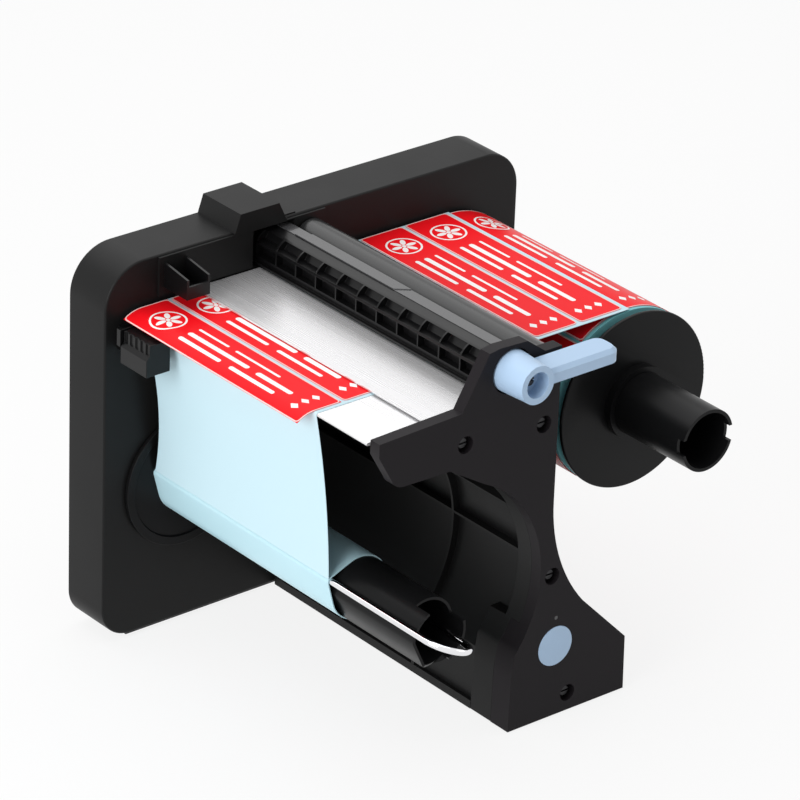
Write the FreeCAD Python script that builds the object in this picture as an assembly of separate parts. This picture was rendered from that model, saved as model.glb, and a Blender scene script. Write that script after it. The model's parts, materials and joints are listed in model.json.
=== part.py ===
import FreeCAD, Part
import math
import os

# A bench-top label dispenser: an upright housing at the back carries a mechanism frame, a label roll,
# a take-up reel for the waste liner and a pressure bar that a lever lifts off the web.
# Lengths are millimetres. X runs along the housing, -Y points at the user, Z is up from the bench.
# The sizes are given from the housing's left side, its front face and the bench top.
# At the end every piece is moved so that the origin is under the middle of the whole machine.

# Housing
housing_w = 290.0
housing_h = 227.0
housing_t = 32.0
housing_wall = 2.5
corner_top_left = 26.0
corner_top_right = 24.0
corner_bottom = 19.0
edge_round = 1.2
foot_h = 3.0
foot_inset_x = 19.0
foot_inset_y = 4.0
pad_margin_left = 3.0
pad_margin_right = 0.4
pad_t = 1.6
hump_left_reach = 30.2
hump_right_reach = 5.8
hump_rise = 10.5
hump_slope_left = 4.0
hump_slope_right = 5.5
hump_proud = 2.0
pocket_depth = 8.0
pocket_wall = 2.5
pocket_left_gap = 6.0
pocket_right_gap = 1.5
pocket_low_gap = 1.0
pocket_rise = 7.2

# Shared fits
running_gap = 0.06
piece_gap = 0.3
seat_gap = 0.02
cut_over = 1.0

# Web and labels
top_drop = 25.0
web_sink = 2.0
web_start_y = 2.0
web_w = 154.0
liner_t = 0.3
label_t = 0.25
label_w = 30.0
label_l = 151.0
label_inset = 0.6
label_corner = 2.5
label_gap = 2.0
leading_reach = 11.7
leading_droop_deg = 36.0
roll_label_lead = 0.8
feed_side_label_count = 2

# Nip: drive roller under the web, pinch roller in the pressure bar above it
nip_share = 0.51
drive_r = 10.0
drive_shaft_r = 4.0
pinch_r = 4.8
pinch_shaft_r = 2.0

# Rear guide roller
guide_bar_gap = 0.8
guide_r = 11.0
guide_axle_r = 3.0

# Front: side plate and front cover
front_y = 204.7
cover_rim_t = 7.5
cover_wall = 2.4
side_plate_t = 11.5
foot_cover_t = 14.4
foot_depth = 31.6
nose_x = 23.9
front_w = 180.0
rim_drop = 0.7
rim_rise = 1.0
base_lift = 1.0
side_plate_left_x = 60.0
bay_r_share = 0.40833
bay_x_share = 0.231
bay_z_share = 0.4537
bay_top_deg = 65.0
bay_low_deg = -38.0
bay_wall_low_deg = -43.0
foot_top_deg = -25.0
nose_shares = [(0.0, 0.958), (0.0494, 0.883), (0.097, 0.854), (0.268, 0.851)]
nose_round_share = (0.0672, 0.8622)
ankle_share = (0.5428, 0.1634)
toe_left_share = 0.5389
heel_share = (0.9956, 0.165)
calf_share = (0.8133, 0.3263)
knee_share = (0.717, 0.468)
column_share = (0.6767, 0.6585)
screw_shares = [(0.3228, 0.912), (0.6222, 0.8937), (0.6861, 0.4322), (0.7717, 0.0576)]
screw_well_r = 5.0
screw_well_wall = 1.6
screw_shank_r = 1.5
screw_head_r = 2.9
screw_head_h = 2.4
screw_grip = 6.0
button_share = (0.7122, 0.2166)
button_r = 11.8
button_gap = 0.2
button_proud = 0.4
button_t = 4.0
button_stem_r = 3.0
button_travel = 1.5
button_guide_wall = 1.5
indicator_share = (0.7106, 0.3015)
indicator_r = 1.15
switch_body_w = 12.0
switch_body_t = 3.5

# Lever, its shaft and the fence round its hub
lever_left_of_nip = 3.9
lever_rise = 16.4
lever_hub_back_r = 12.1
lever_hub_front_r = 10.9
lever_hub_reach = 20.7
lever_recess = 3.4
lever_shaft_r = 4.0
lever_arm_l = 59.0
lever_arm_back = 3.0
lever_arm_t = 8.0
lever_arm_low = 3.0
lever_tip_round = 7.0
lever_chamfer = 2.2
lever_socket_r = 7.4
lever_socket_depth = 9.0
crank_offset = 2.0
crank_pin_r = 1.5
crank_pin_l = 6.0
fence_r = 18.0
fence_shares = [(1.244, 0.3), (0.55, 0.811), (-0.483, 0.856), (-0.883, 0.794), (-1.833, -0.856)]
fence_hub_gap = 0.9

# Pressure bar
bar_left_reach = 11.1
bar_right_reach = 10.1
bar_low_rise = 3.2
bar_shoulder_rise = 13.5
bar_top_rise = 19.8
bar_crown_reach = 3.6
bar_crown_bulge = 1.1
bar_end_gap = 0.9
bar_cells = 11
bar_rib_t = 1.1
bar_rim = 2.2
bar_low_rim = 4.2
bar_end_block = 8.0
bar_cell_depth = 4.6
bar_cavity_half_w = 5.8
bar_cavity_rise = 11.2
bar_end_wall = 3.0
bar_pin_reach = 6.8
bar_pin_rise = 16.0
bar_pin_r = 1.5
bar_pin_seat = 2.9
bar_pocket_gap = 2.5
bar_lip_reach = 2.1
bar_lip_t = 1.4
strip_reach = 2.6
strip_w = 7.6
strip_t = 0.9
strip_inset_t = 0.4
strip_far_slant = 18.7
strip_slant_l = 6.2
strip_near_share = 0.515
crank_room_w = 11.0
crank_room_h = 10.0
crank_roof_gap = 0.45
spring_wall = 0.9
spring_l = 7.0

# Table: mechanism frame, peel plate and cover plate
plate_t = 2.0
peel_reach = 2.5
deck_t = 3.5
deck_left_reach = 5.0
trough_wall = 2.4
trough_gap = 2.0
table_reach = 9.4
bay_wall_set_back = 6.0
bay_wall_t = 3.0
bay_rib_h = 4.5
bay_rib_t = 1.6
bay_rib_degs = [3.8, 27.4]
bay_cross_rib_share = 0.7
floor_t = 5.0
gusset_t = 2.5
gusset_shares = [0.33, 0.67]
cover_left_x = 58.5
cover_sheet_t = 1.0
cover_sheet_gap = 0.45
cover_bar_gap = 0.7
cover_spacer_w = 12.0
cover_spacer_inset = 6.0

# Edge guide over the far edge of the web
guide_box_left_x = 38.0
guide_box_w = 15.5
guide_box_reach = 22.4
guide_box_low = 5.7
guide_box_back_h = 14.8
guide_box_side_h = 11.7
guide_box_front_h = 7.6
guide_box_wall = 1.5

# Label sensor
sensor_reach = 18.7
sensor_w = 15.8
sensor_near = 33.9
sensor_far = 10.6
sensor_low = 26.0
sensor_top = 7.5
sensor_lip_h = 10.0
sensor_lip_in = 2.1
sensor_ribs = 5
sensor_rib_depth = 0.8
sensor_rib_gap_share = 0.45
sensor_arm_h = 14.0
sensor_arm_w = 8.0
sensor_clip_t = 1.2
sensor_clip_reach = 3.2
sensor_clip_h = 10.0
sensor_eye_r = 1.6
sensor_eye_h = 1.0

# Supply reel
supply_inset = 52.5
supply_drop = 51.8
supply_axle_r = 5.0
supply_axle_l = 160.0
supply_hub_r = 18.2
supply_hub_wall = 2.0
supply_hub_l = 223.5
supply_base_r = 27.0
supply_base_t = 1.2
supply_bearing_t = 6.0
supply_notch_w = 9.0
supply_notch_l = 4.5
core_t = 2.8
core_gap = 0.3
roll_clear = 0.3
wound_gap = 0.1
flange_r = 51.9
flange_t = 2.5
flange_gap = 5.2
flange_collar_r = 21.5
flange_collar_l = 5.0
axle_shoulder_r = 9.0
nut_flange_r = 15.0
nut_flange_t = 1.5
nut_sides = 6
axle_nut_r = 9.0
axle_nut_t = 4.5
axle_clip_r = 8.0
axle_clip_t = 1.5

# Take-up reel
take_up_x = 54.2
take_up_z_share = 0.44
take_up_shaft_r = 4.0
take_up_flange_r = 40.0
take_up_lip_w = 5.2
take_up_lip_t = 1.1
take_up_flange_t = 1.3
take_up_back_gap = 0.6
drum_r = 18.0
drum_wall = 1.6
drum_l = 222.5
drum_web_t = 4.0
drum_facet_deg = 205.0
drum_facet_depth = 2.2
drum_corner_deg = 33.0
drum_notch_degs = [15.0, 65.0, 115.0]
drum_notch_l = 11.0
waste_t = 0.7
drop_bow = 2.2
drop_waist = 7.0
drop_waist_low = 7.0
clip_wire_r = 1.85
clip_deg = 153.9
clip_gap = 0.12
clip_stand_off = 1.55
clip_inner_x = 6.6
clip_inner_z = -0.5
clip_reach = 249.6
clip_leg_l = 205.0
clip_socket_wall = 1.4
clip_socket_inset = 46.0
clip_socket_l = 14.0

# Drive train inside the housing
motor_left_of_nip = 5.7
motor_z_share = 0.6
motor_side = 42.0
motor_corner = 4.5
motor_t = 16.0
motor_collar_r = 11.0
motor_collar_t = 1.2
motor_shaft_r = 2.5
motor_screw_pitch = 31.0
motor_pulley_r = 8.0
drive_pulley_r = 11.0
belt_w = 4.0
belt_t = 1.4
belt_start_y = 20.2
belt_track_gap = 0.4
pulley_rim_t = 0.8
bush_wall = 3.0
bush_flange_r = 9.0
bush_flange_t = 1.2

# Board, inlet, switch and rear cover
rear_cover_t = 2.5
rear_cover_gap = 0.25
rear_screw_shares = [(0.07, 0.1), (0.5, 0.06), (0.93, 0.1), (0.07, 0.86), (0.62, 0.94), (0.93, 0.86)]
post_r = 4.0
vent_count = 7
vent_w = 2.4
vent_l = 34.0
vent_pitch = 6.5
vent_x_share = 0.655
vent_drop = 54.0
board_inset_x = 26.0
board_z = 40.0
board_w = 88.0
board_h = 62.0
board_t = 1.6
board_y = 10.0
board_inset = 5.0
board_chip_w = 14.0
board_chip_t = 2.0
board_cap_r = 4.0
board_cap_h = 9.0
board_cap_shares = [0.7, 0.85]
inlet_x = 34.0
inlet_z = 30.0
inlet_r = 5.6
inlet_bore_r = 3.1
inlet_pin_r = 1.0
inlet_l = 12.0
inlet_floor_t = 2.0
switch_x = 62.0
switch_z = 30.0
switch_w = 19.0
switch_h = 13.0
switch_l = 12.0
switch_frame_t = 1.4
rocker_gap = 0.3
rocker_half_deg = 6.0
rocker_pivot_depth = 4.0
rocker_pin_r = 1.2
rocker_depth = 5.5
rocker_low = 1.2

# Places worked out from the sizes above
housing_low = foot_h
housing_top = housing_low + housing_h
top_z = housing_top - top_drop
web_z = top_z - web_sink
nip_x = nose_x + nip_share * front_w
front = -front_y
cover_back = front + cover_rim_t
side_plate_back = cover_back + side_plate_t
foot_cover_back = front + foot_cover_t
foot_back = front + foot_depth
bay_r = bay_r_share * front_w
bay_x = nose_x + bay_x_share * front_w
bay_z = bay_z_share * top_z
web_far = -web_start_y
web_near = web_far - web_w
label_far = web_far - label_inset
label_near = label_far - label_l
label_top = web_z + liner_t + label_t
deck_top = web_z - plate_t
drive_z = web_z - piece_gap - drive_r
pinch_z = label_top + piece_gap + pinch_r
guide_z = label_top + piece_gap + guide_r
lever_x = nip_x - lever_left_of_nip
lever_z = top_z + lever_rise
bar_left = nip_x - bar_left_reach
bar_right = nip_x + bar_right_reach
bar_low = web_z + bar_low_rise
bar_shoulder = top_z + bar_shoulder_rise
bar_top = top_z + bar_top_rise
bar_crown_x = nip_x - bar_crown_reach
roller_far = -pad_t - bar_end_gap
bar_far = pocket_depth - bar_pocket_gap
bar_near = cover_back + bar_end_gap
bar_pin_x = nip_x + bar_pin_reach
bar_pin_z = top_z + bar_pin_rise
pocket_far = pocket_depth + pocket_wall
pocket_left = bar_left - pocket_left_gap
pocket_right = bar_right + pocket_right_gap
pocket_low = bar_low - pocket_low_gap
pocket_top = bar_pin_z + pocket_rise
guide_x = bar_right + guide_bar_gap + guide_r
hump_left = nip_x - hump_left_reach
hump_right = nip_x + hump_right_reach
pad_left = guide_box_left_x - pad_margin_left
pad_right = guide_x + guide_r + pad_margin_right
table_right_x = guide_x + table_reach
peel_x = nose_x - peel_reach
leading_edge_x = peel_x - leading_reach
sensor_left_x = peel_x - sensor_reach
supply_x = housing_w - supply_inset
supply_z = web_z - supply_drop
take_up_z = take_up_z_share * top_z
motor_z = motor_z_share * top_z
vent_z = housing_top - vent_drop
roll_r = web_z - supply_z - roll_clear - label_t - wound_gap
roll_bore_r = supply_hub_r + core_gap + core_t
waste_r = drum_r + waste_t
take_up_pulley_r = drive_pulley_r * waste_r / drive_r
clip_orbit_r = drum_r + clip_stand_off + clip_wire_r
clip_room_r = clip_wire_r + clip_gap
take_up_sweep_r = clip_orbit_r + clip_room_r + waste_t
clip_outer_x = take_up_x + clip_orbit_r * math.cos(math.radians(clip_deg))
clip_outer_z = take_up_z + clip_orbit_r * math.sin(math.radians(clip_deg))
clip_inner_leg_x = take_up_x + clip_inner_x
clip_inner_leg_z = take_up_z + clip_inner_z
drive_belt_y = belt_start_y
take_up_belt_y = belt_start_y + belt_w + belt_track_gap
rear_inner_y = housing_t - rear_cover_t
table_near = side_plate_back
label_pitch = label_w + label_gap
axle_shoulder_t = web_start_y - supply_base_t - piece_gap
roll_side_label_count = int((supply_x - guide_x) / label_pitch)
roll_side_label_x = supply_x - roll_label_lead - roll_side_label_count * label_pitch
motor_x = nip_x - motor_left_of_nip
vent_x = vent_x_share * housing_w
board_x = housing_w - board_inset_x - board_w
button_x = nose_x + button_share[0] * front_w
button_z = button_share[1] * top_z
indicator_x = nose_x + indicator_share[0] * front_w
indicator_z = indicator_share[1] * top_z


# Plain shapes

def vec(x, y, z):
    return FreeCAD.Vector(x, y, z)


def block(x_low, x_high, y_low, y_high, z_low, z_high):
    """A box between two corners."""
    return Part.makeBox(x_high - x_low, y_high - y_low, z_high - z_low, vec(x_low, y_low, z_low))


def rod(x, z, radius, y_low, y_high):
    """A round bar along Y."""
    return Part.makeCylinder(radius, y_high - y_low, vec(x, y_low, z), vec(0, 1, 0))


def ring(x, z, outer_r, inner_r, y_low, y_high):
    """A tube along Y."""
    bore = rod(x, z, inner_r, y_low - cut_over, y_high + cut_over)
    return rod(x, z, outer_r, y_low, y_high).cut(bore)


def taper(x, z, low_r, high_r, y_low, y_high):
    """A cone along Y, low_r at y_low and high_r at y_high."""
    return Part.makeCone(low_r, high_r, y_high - y_low, vec(x, y_low, z), vec(0, 1, 0))


def outline(start, steps):
    """A flat XZ face. A step of one point is a straight edge to it, and of two an arc through the first."""
    edges = []
    here = start
    for step in steps:
        end = step[-1]
        if len(step) == 1:
            edges.append(Part.LineSegment(vec(here[0], 0, here[1]), vec(end[0], 0, end[1])).toShape())
        else:
            middle = vec(step[0][0], 0, step[0][1])
            edges.append(Part.Arc(vec(here[0], 0, here[1]), middle, vec(end[0], 0, end[1])).toShape())
        here = end
    return Part.Face(Part.Wire(edges))


def extrude(face, y_low, y_high):
    """An XZ face made solid between two planes."""
    moved = face.copy()
    moved.translate(vec(0, y_low, 0))
    return moved.extrude(vec(0, y_high - y_low, 0))


def prism(points, y_low, y_high):
    """A straight-sided XZ outline made solid between two planes."""
    return extrude(outline(points[0], [(p,) for p in points[1:]] + [(points[0],)]), y_low, y_high)


def on_circle(x, z, radius, degrees):
    """The point at that angle on a circle, as (x, z)."""
    angle = math.radians(degrees)
    return (x + radius * math.cos(angle), z + radius * math.sin(angle))


def rounded_face(x_low, x_high, z_low, z_high, top_left, top_right, bottom):
    """A rectangle with a radius of its own at each top corner and one for both bottom corners."""
    diagonal = math.cos(math.radians(45))
    corners = [
        (x_high - bottom, z_low + bottom, bottom, 1, -1),
        (x_high - top_right, z_high - top_right, top_right, 1, 1),
        (x_low + top_left, z_high - top_left, top_left, -1, 1),
        (x_low + bottom, z_low + bottom, bottom, -1, -1),
    ]
    steps = []
    start = None
    for x, z, radius, side, level in corners:
        upright = (x + side * radius, z)
        flat = (x, z + level * radius)
        first, last = (flat, upright) if side == -level else (upright, flat)
        middle = (x + side * radius * diagonal, z + level * radius * diagonal)
        if start is None:
            start = first
        else:
            steps.append((first,))
        steps.append((middle, last))
    steps.append((start,))
    return outline(start, steps)


def loop_face(x_a, z_a, r_a, x_b, z_b, r_b):
    """The face inside a tight band round two circles."""
    along = math.atan2(z_b - z_a, x_b - x_a)
    apart = math.hypot(x_b - x_a, z_b - z_a)
    lean = math.acos((r_a - r_b) / apart)
    up, down = math.degrees(along + lean), math.degrees(along - lean)
    back = math.degrees(along) + 180
    ahead = math.degrees(along)
    start = on_circle(x_a, z_a, r_a, up)
    return outline(start, [
        (on_circle(x_a, z_a, r_a, back), on_circle(x_a, z_a, r_a, down)),
        (on_circle(x_b, z_b, r_b, down),),
        (on_circle(x_b, z_b, r_b, ahead), on_circle(x_b, z_b, r_b, up)),
        (start,),
    ])


def screw(x, z, head_y, into, grip):
    """A pan-head screw: its head starts at head_y and its shank runs the way of into, 1 or -1."""
    head_end = head_y + into * screw_head_h
    tip = head_end + into * grip
    head = rod(x, z, screw_head_r, min(head_y, head_end), max(head_y, head_end))
    slot_depth = screw_head_h / 2
    slot_half = screw_shank_r / 3
    slot_end = head_y + into * slot_depth
    slot = block(x - screw_head_r, x + screw_head_r, min(head_y, slot_end), max(head_y, slot_end),
                 z - slot_half, z + slot_half)
    return head.cut(slot).fuse(rod(x, z, screw_shank_r, min(head_end, tip), max(head_end, tip)))


def group(shapes):
    return Part.makeCompound(shapes)


def share_point(share):
    """A point of the front outline from its shares of the front's width and of its height."""
    return (nose_x + share[0] * front_w, share[1] * top_z)


def fence_point(share):
    """A point of the fence over the lever, from its shares of the fence's radius."""
    return (lever_x + share[0] * fence_r, lever_z + share[1] * fence_r)


# Housing

def rear_screw_places():
    return [(share[0] * housing_w, housing_low + share[1] * housing_h) for share in rear_screw_shares]


def board_corners():
    low_x, high_x = board_x + board_inset, board_x + board_w - board_inset
    low_z, high_z = board_z + board_inset, board_z + board_h - board_inset
    return [(low_x, low_z), (high_x, low_z), (low_x, high_z), (high_x, high_z)]


def housing_body():
    face = rounded_face(0, housing_w, housing_low, housing_top, corner_top_left, corner_top_right,
                        corner_bottom)
    body = extrude(face, 0, housing_t)
    rims = [e for e in body.Edges if all(abs(v.Y) < seat_gap for v in e.Vertexes)]
    return body.makeFillet(edge_round, rims)


def housing_hump():
    low = housing_top - edge_round
    points = [
        (hump_left, low),
        (hump_left + hump_slope_left, housing_top + hump_rise),
        (hump_right - hump_slope_right, housing_top + hump_rise),
        (hump_right, low),
    ]
    return prism(points, -hump_proud, housing_t)


def housing_shell():
    """The tray-shaped housing with its wall, pad, hump, bar pocket, screw posts and shaft holes."""
    wall = housing_wall
    room = rounded_face(wall, housing_w - wall, housing_low + wall, housing_top - wall,
                        corner_top_left - wall, corner_top_right - wall, corner_bottom - wall)
    shell = housing_body().cut(extrude(room, wall, housing_t + cut_over))
    pad_low = top_z + rim_rise
    pad = block(pad_left, pad_right, -pad_t, wall, pad_low, housing_top - edge_round)
    hump = housing_hump()
    neck = block(hump_left, hump_right, -hump_proud, wall, pocket_top, housing_top)
    pocket = block(pocket_left - pocket_wall, pocket_right + pocket_wall, wall / 2, pocket_far,
                   pocket_low - pocket_wall, pocket_top + pocket_wall)
    shell = shell.fuse([pad, hump, neck, pocket])
    shell = shell.cut(block(pocket_left, pocket_right, -hump_proud - cut_over, pocket_depth,
                            pocket_low, pocket_top))
    for x, z in rear_screw_places():
        shell = shell.fuse(rod(x, z, post_r, wall / 2, rear_inner_y))
        shell = shell.cut(rod(x, z, screw_shank_r + seat_gap, wall, housing_t))
    for x, z in board_corners():
        shell = shell.fuse(rod(x, z, post_r, wall / 2, board_y))
    holes = [
        (nip_x, drive_z, drive_shaft_r + bush_wall + seat_gap),
        (take_up_x, take_up_z, take_up_shaft_r + bush_wall + seat_gap),
        (supply_x, supply_z, supply_axle_r + seat_gap),
        (guide_x, guide_z, guide_axle_r + seat_gap),
    ]
    for x, z, radius in holes:
        shell = shell.cut(rod(x, z, radius, -pad_t - cut_over, wall + cut_over))
    return shell.cut(rod(bar_pin_x, bar_pin_z, bar_pin_r + seat_gap, pocket_depth - cut_over,
                         pocket_far + cut_over))


def rear_cover():
    """The flat cover set into the back of the housing, with vents and openings for inlet and switch."""
    inset = housing_wall + rear_cover_gap
    face = rounded_face(inset, housing_w - inset, housing_low + inset, housing_top - inset,
                        corner_top_left - inset, corner_top_right - inset, corner_bottom - inset)
    cover = extrude(face, rear_inner_y, housing_t)
    through_low, through_high = rear_inner_y - cut_over, housing_t + cut_over
    for x, z in rear_screw_places():
        cover = cover.cut(rod(x, z, screw_shank_r + seat_gap, through_low, through_high))
        cover = cover.cut(rod(x, z, screw_head_r + piece_gap, housing_t - rear_cover_t / 2, through_high))
    for i in range(vent_count):
        x = vent_x + i * vent_pitch
        cover = cover.cut(block(x, x + vent_w, through_low, through_high, vent_z, vent_z + vent_l))
    cover = cover.cut(rod(inlet_x, inlet_z, inlet_r + seat_gap, through_low, through_high))
    half_w, half_h = switch_w / 2 + seat_gap, switch_h / 2 + seat_gap
    return cover.cut(block(switch_x - half_w, switch_x + half_w, through_low, through_high,
                           switch_z - half_h, switch_z + half_h))


def rear_cover_screws():
    head_y = housing_t - rear_cover_t / 2 + screw_head_h
    sunk_y = min(head_y, housing_t)
    pieces = []
    for x, z in rear_screw_places():
        head = rod(x, z, screw_head_r, housing_t - rear_cover_t / 2, sunk_y)
        shank = rod(x, z, screw_shank_r, housing_t - rear_cover_t / 2 - screw_grip,
                    housing_t - rear_cover_t / 2)
        slot_half = screw_shank_r / 3
        slot = block(x - screw_head_r, x + screw_head_r, sunk_y - screw_shank_r / 3, sunk_y,
                     z - slot_half, z + slot_half)
        pieces.append(head.fuse(shank).cut(slot))
    return group(pieces)


def housing_foot():
    """The rubber strip that the housing stands on."""
    return block(foot_inset_x, housing_w - foot_inset_x, foot_inset_y, housing_t - foot_inset_y,
                 0, housing_low)


# Front outline, shared by the cover, the side plate and the frame's end flange

def nose_steps():
    """The nose's left end, its rounded lower corner and its underside."""
    points = [share_point(s) for s in nose_shares]
    return [(points[0],), (points[1],), (share_point(nose_round_share), points[2]), (points[3],)]


def arch_steps():
    """The bay's edge, from the end of the nose's underside down to the foot's left side."""
    top = on_circle(bay_x, bay_z, bay_r, bay_top_deg)
    middle = on_circle(bay_x, bay_z, bay_r, (bay_top_deg + bay_low_deg) / 2)
    low = on_circle(bay_x, bay_z, bay_r, bay_low_deg)
    return [(top,), (middle, low), (share_point(ankle_share),)]


def foot_and_column_steps(end_z):
    """Round the foot and up the column's right side to end_z."""
    toe_x = nose_x + toe_left_share * front_w
    column = share_point(column_share)
    return [
        ((toe_x, base_lift),),
        ((nose_x + front_w, base_lift),),
        (share_point(heel_share),),
        (share_point(calf_share),),
        (share_point(knee_share), column),
        ((column[0], end_z),),
    ]


def front_face():
    """The whole front: nose, arch, foot, column, the fence over the lever and the sloping shoulder."""
    start = (nose_x, top_z - rim_drop)
    fence = [fence_point(s) for s in fence_shares]
    steps = nose_steps() + arch_steps() + foot_and_column_steps(fence[0][1])
    steps += [(point,) for point in fence + [start]]
    return outline(start, steps)


def foot_face():
    """The foot's outline alone, up to a point on the arch above the ankle."""
    ankle, heel = share_point(ankle_share), share_point(heel_share)
    calf = share_point(calf_share)
    top = on_circle(bay_x, bay_z, bay_r, foot_top_deg)
    middle = on_circle(bay_x, bay_z, bay_r, (foot_top_deg + bay_low_deg) / 2)
    low = on_circle(bay_x, bay_z, bay_r, bay_low_deg)
    level = (top[1] - heel[1]) / (calf[1] - heel[1])
    right = (heel[0] + level * (calf[0] - heel[0]), top[1])
    toe_x = nose_x + toe_left_share * front_w
    return outline(top, [(middle, low), (ankle,), ((toe_x, base_lift),), ((nose_x + front_w, base_lift),),
                         (heel,), (right,), (top,)])


def side_face():
    """The side plate's outline: the front's, without the nose and without what rises past the web."""
    top = deck_top - piece_gap
    start = (side_plate_left_x, top)
    nose_end = share_point(nose_shares[-1])
    steps = [((side_plate_left_x, nose_end[1]),), (nose_end,)]
    steps += arch_steps()
    steps += foot_and_column_steps(top)
    steps += [(start,)]
    return outline(start, steps)


def front_screw_places():
    return [share_point(s) for s in screw_shares]


def front_cover():
    """The arched outer cover with its fence, screw wells, button guide and indicator hole."""
    face = front_face()
    room = face.makeOffset2D(-cover_wall, join=0)
    cover = extrude(face, front, cover_back).cut(
        extrude(room, front + cover_wall, cover_back + cut_over))
    foot = foot_face()
    foot_room = foot.makeOffset2D(-cover_wall, join=2)
    skirt = extrude(foot, cover_back, foot_cover_back).cut(
        extrude(foot_room, cover_back - cut_over, foot_cover_back + cut_over))
    cover = cover.cut(extrude(foot_room, front + cover_wall, foot_cover_back)).fuse(skirt)
    boss = rod(lever_x, lever_z, fence_r, front, cover_back)
    neck = block(bar_left, bar_right, front, cover_back, top_z + rim_rise, lever_z)
    sockets = [
        rod(guide_x, guide_z, guide_axle_r + bush_wall, front, cover_back),
        rod(bar_pin_x, bar_pin_z, bar_pin_r + bush_wall, front, cover_back),
    ]
    added = extrude(face, front, cover_back).common(boss.fuse([neck] + sockets))
    cover = cover.fuse(added)
    well_depth = cover_rim_t - cover_wall
    for x, z in front_screw_places():
        well = rod(x, z, screw_well_r + screw_well_wall, front, cover_back)
        cover = cover.fuse(well.common(extrude(face, front, cover_back)))
        cover = cover.cut(rod(x, z, screw_well_r, front - cut_over, front + well_depth))
        cover = cover.cut(rod(x, z, screw_shank_r + piece_gap, front, cover_back + cut_over))
    recess_r = lever_hub_back_r + fence_hub_gap
    cover = cover.cut(rod(lever_x, lever_z, recess_r, front - cut_over, front + lever_recess))
    bore_r = lever_shaft_r + running_gap
    cover = cover.cut(rod(lever_x, lever_z, bore_r, front - cut_over, cover_back + cut_over))
    cover = cover.cut(rod(guide_x, guide_z, guide_axle_r + seat_gap, front + cover_wall,
                          cover_back + cut_over))
    cover = cover.cut(rod(bar_pin_x, bar_pin_z, bar_pin_r + seat_gap, cover_back - bar_pin_seat,
                          cover_back + cut_over))
    hole_r = button_r + button_gap
    sleeve = ring(button_x, button_z, hole_r + button_guide_wall, hole_r, front, cover_back)
    cover = cover.fuse(sleeve).cut(rod(button_x, button_z, hole_r, front - cut_over, cover_back))
    light = rod(indicator_x, indicator_z, indicator_r + seat_gap, front - cut_over, cover_back)
    return cover.cut(light)


def front_cover_screws():
    head_y = front + cover_rim_t - cover_wall - screw_head_h
    return group([screw(x, z, head_y, 1, screw_grip) for x, z in front_screw_places()])


def side_plate():
    """The inner wall of the front, open towards the cover, with the drive roller's bush in it."""
    face = side_face()
    room = face.makeOffset2D(-cover_wall, join=2)
    plate = extrude(face, cover_back, side_plate_back)
    plate = plate.cut(extrude(room, cover_back - cut_over, side_plate_back - cover_wall))
    foot = foot_face()
    foot_room = foot.makeOffset2D(-cover_wall, join=2)
    plate = plate.cut(extrude(foot, cover_back - cut_over, foot_cover_back))
    shoe = extrude(foot, foot_cover_back, foot_back)
    shoe = shoe.cut(extrude(foot_room, foot_cover_back - cut_over, foot_back - cover_wall))
    plate = plate.cut(extrude(foot_room, cover_back, foot_back - cover_wall)).fuse(shoe)
    plate = plate.cut(extrude(foot_room, side_plate_back - cover_wall - cut_over, foot_back - cover_wall))
    outer = extrude(face, cover_back, side_plate_back)
    boss_r = drive_shaft_r + 2 * bush_wall
    boss = rod(nip_x, drive_z, boss_r, cover_back, side_plate_back)
    plate = plate.fuse(boss.common(outer))
    plate = plate.cut(rod(nip_x, drive_z, drive_shaft_r + bush_wall + seat_gap,
                          cover_back + cover_wall, side_plate_back + cut_over))
    for x, z in front_screw_places():
        in_foot = z < share_point(heel_share)[1]
        post_end = foot_back - cover_wall / 2 if in_foot else side_plate_back
        plate = plate.fuse(rod(x, z, screw_well_r, cover_back, post_end))
        plate = plate.cut(rod(x, z, screw_shank_r + seat_gap, cover_back - cut_over,
                              cover_back + screw_grip + cut_over))
    return plate


def front_foot_pads():
    """Two rubber pads under the floor beam, one behind the other."""
    toe_x = nose_x + toe_left_share * front_w
    left, right = toe_x + floor_t, nose_x + front_w - floor_t
    length = foot_depth - 2 * floor_t
    near = front + floor_t
    far = -floor_t - length
    return group([
        block(left, right, near, near + length, 0, base_lift),
        block(left, right, far, far + length, 0, base_lift),
    ])


# Mechanism frame and plates

def bay_wall_face(inner_r, outer_r):
    """The curved wall behind the bay, between two radii, from roof to floor."""
    top_deg = bay_top_deg
    low_deg = bay_wall_low_deg
    middle_deg = (top_deg + low_deg) / 2
    inner_top = on_circle(bay_x, bay_z, inner_r, top_deg)
    inner_low = on_circle(bay_x, bay_z, inner_r, low_deg)
    outer_top = on_circle(bay_x, bay_z, outer_r, top_deg)
    outer_low = on_circle(bay_x, bay_z, outer_r, low_deg)
    return outline(inner_top, [
        (on_circle(bay_x, bay_z, inner_r, middle_deg), inner_low),
        (outer_low,),
        (on_circle(bay_x, bay_z, outer_r, middle_deg), outer_top),
        (inner_top,),
    ])


def bay_rib(degrees, near, far):
    """One rib along the curved wall."""
    inner_r = bay_r + bay_wall_set_back
    rib_r, root_r = inner_r - bay_rib_h, inner_r + bay_wall_t / 2
    half = math.degrees(bay_rib_t / inner_r) / 2
    corners = [(rib_r, degrees - half), (root_r, degrees - half), (root_r, degrees + half),
               (rib_r, degrees + half)]
    return prism([on_circle(bay_x, bay_z, radius, angle) for radius, angle in corners], near, far)


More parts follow.
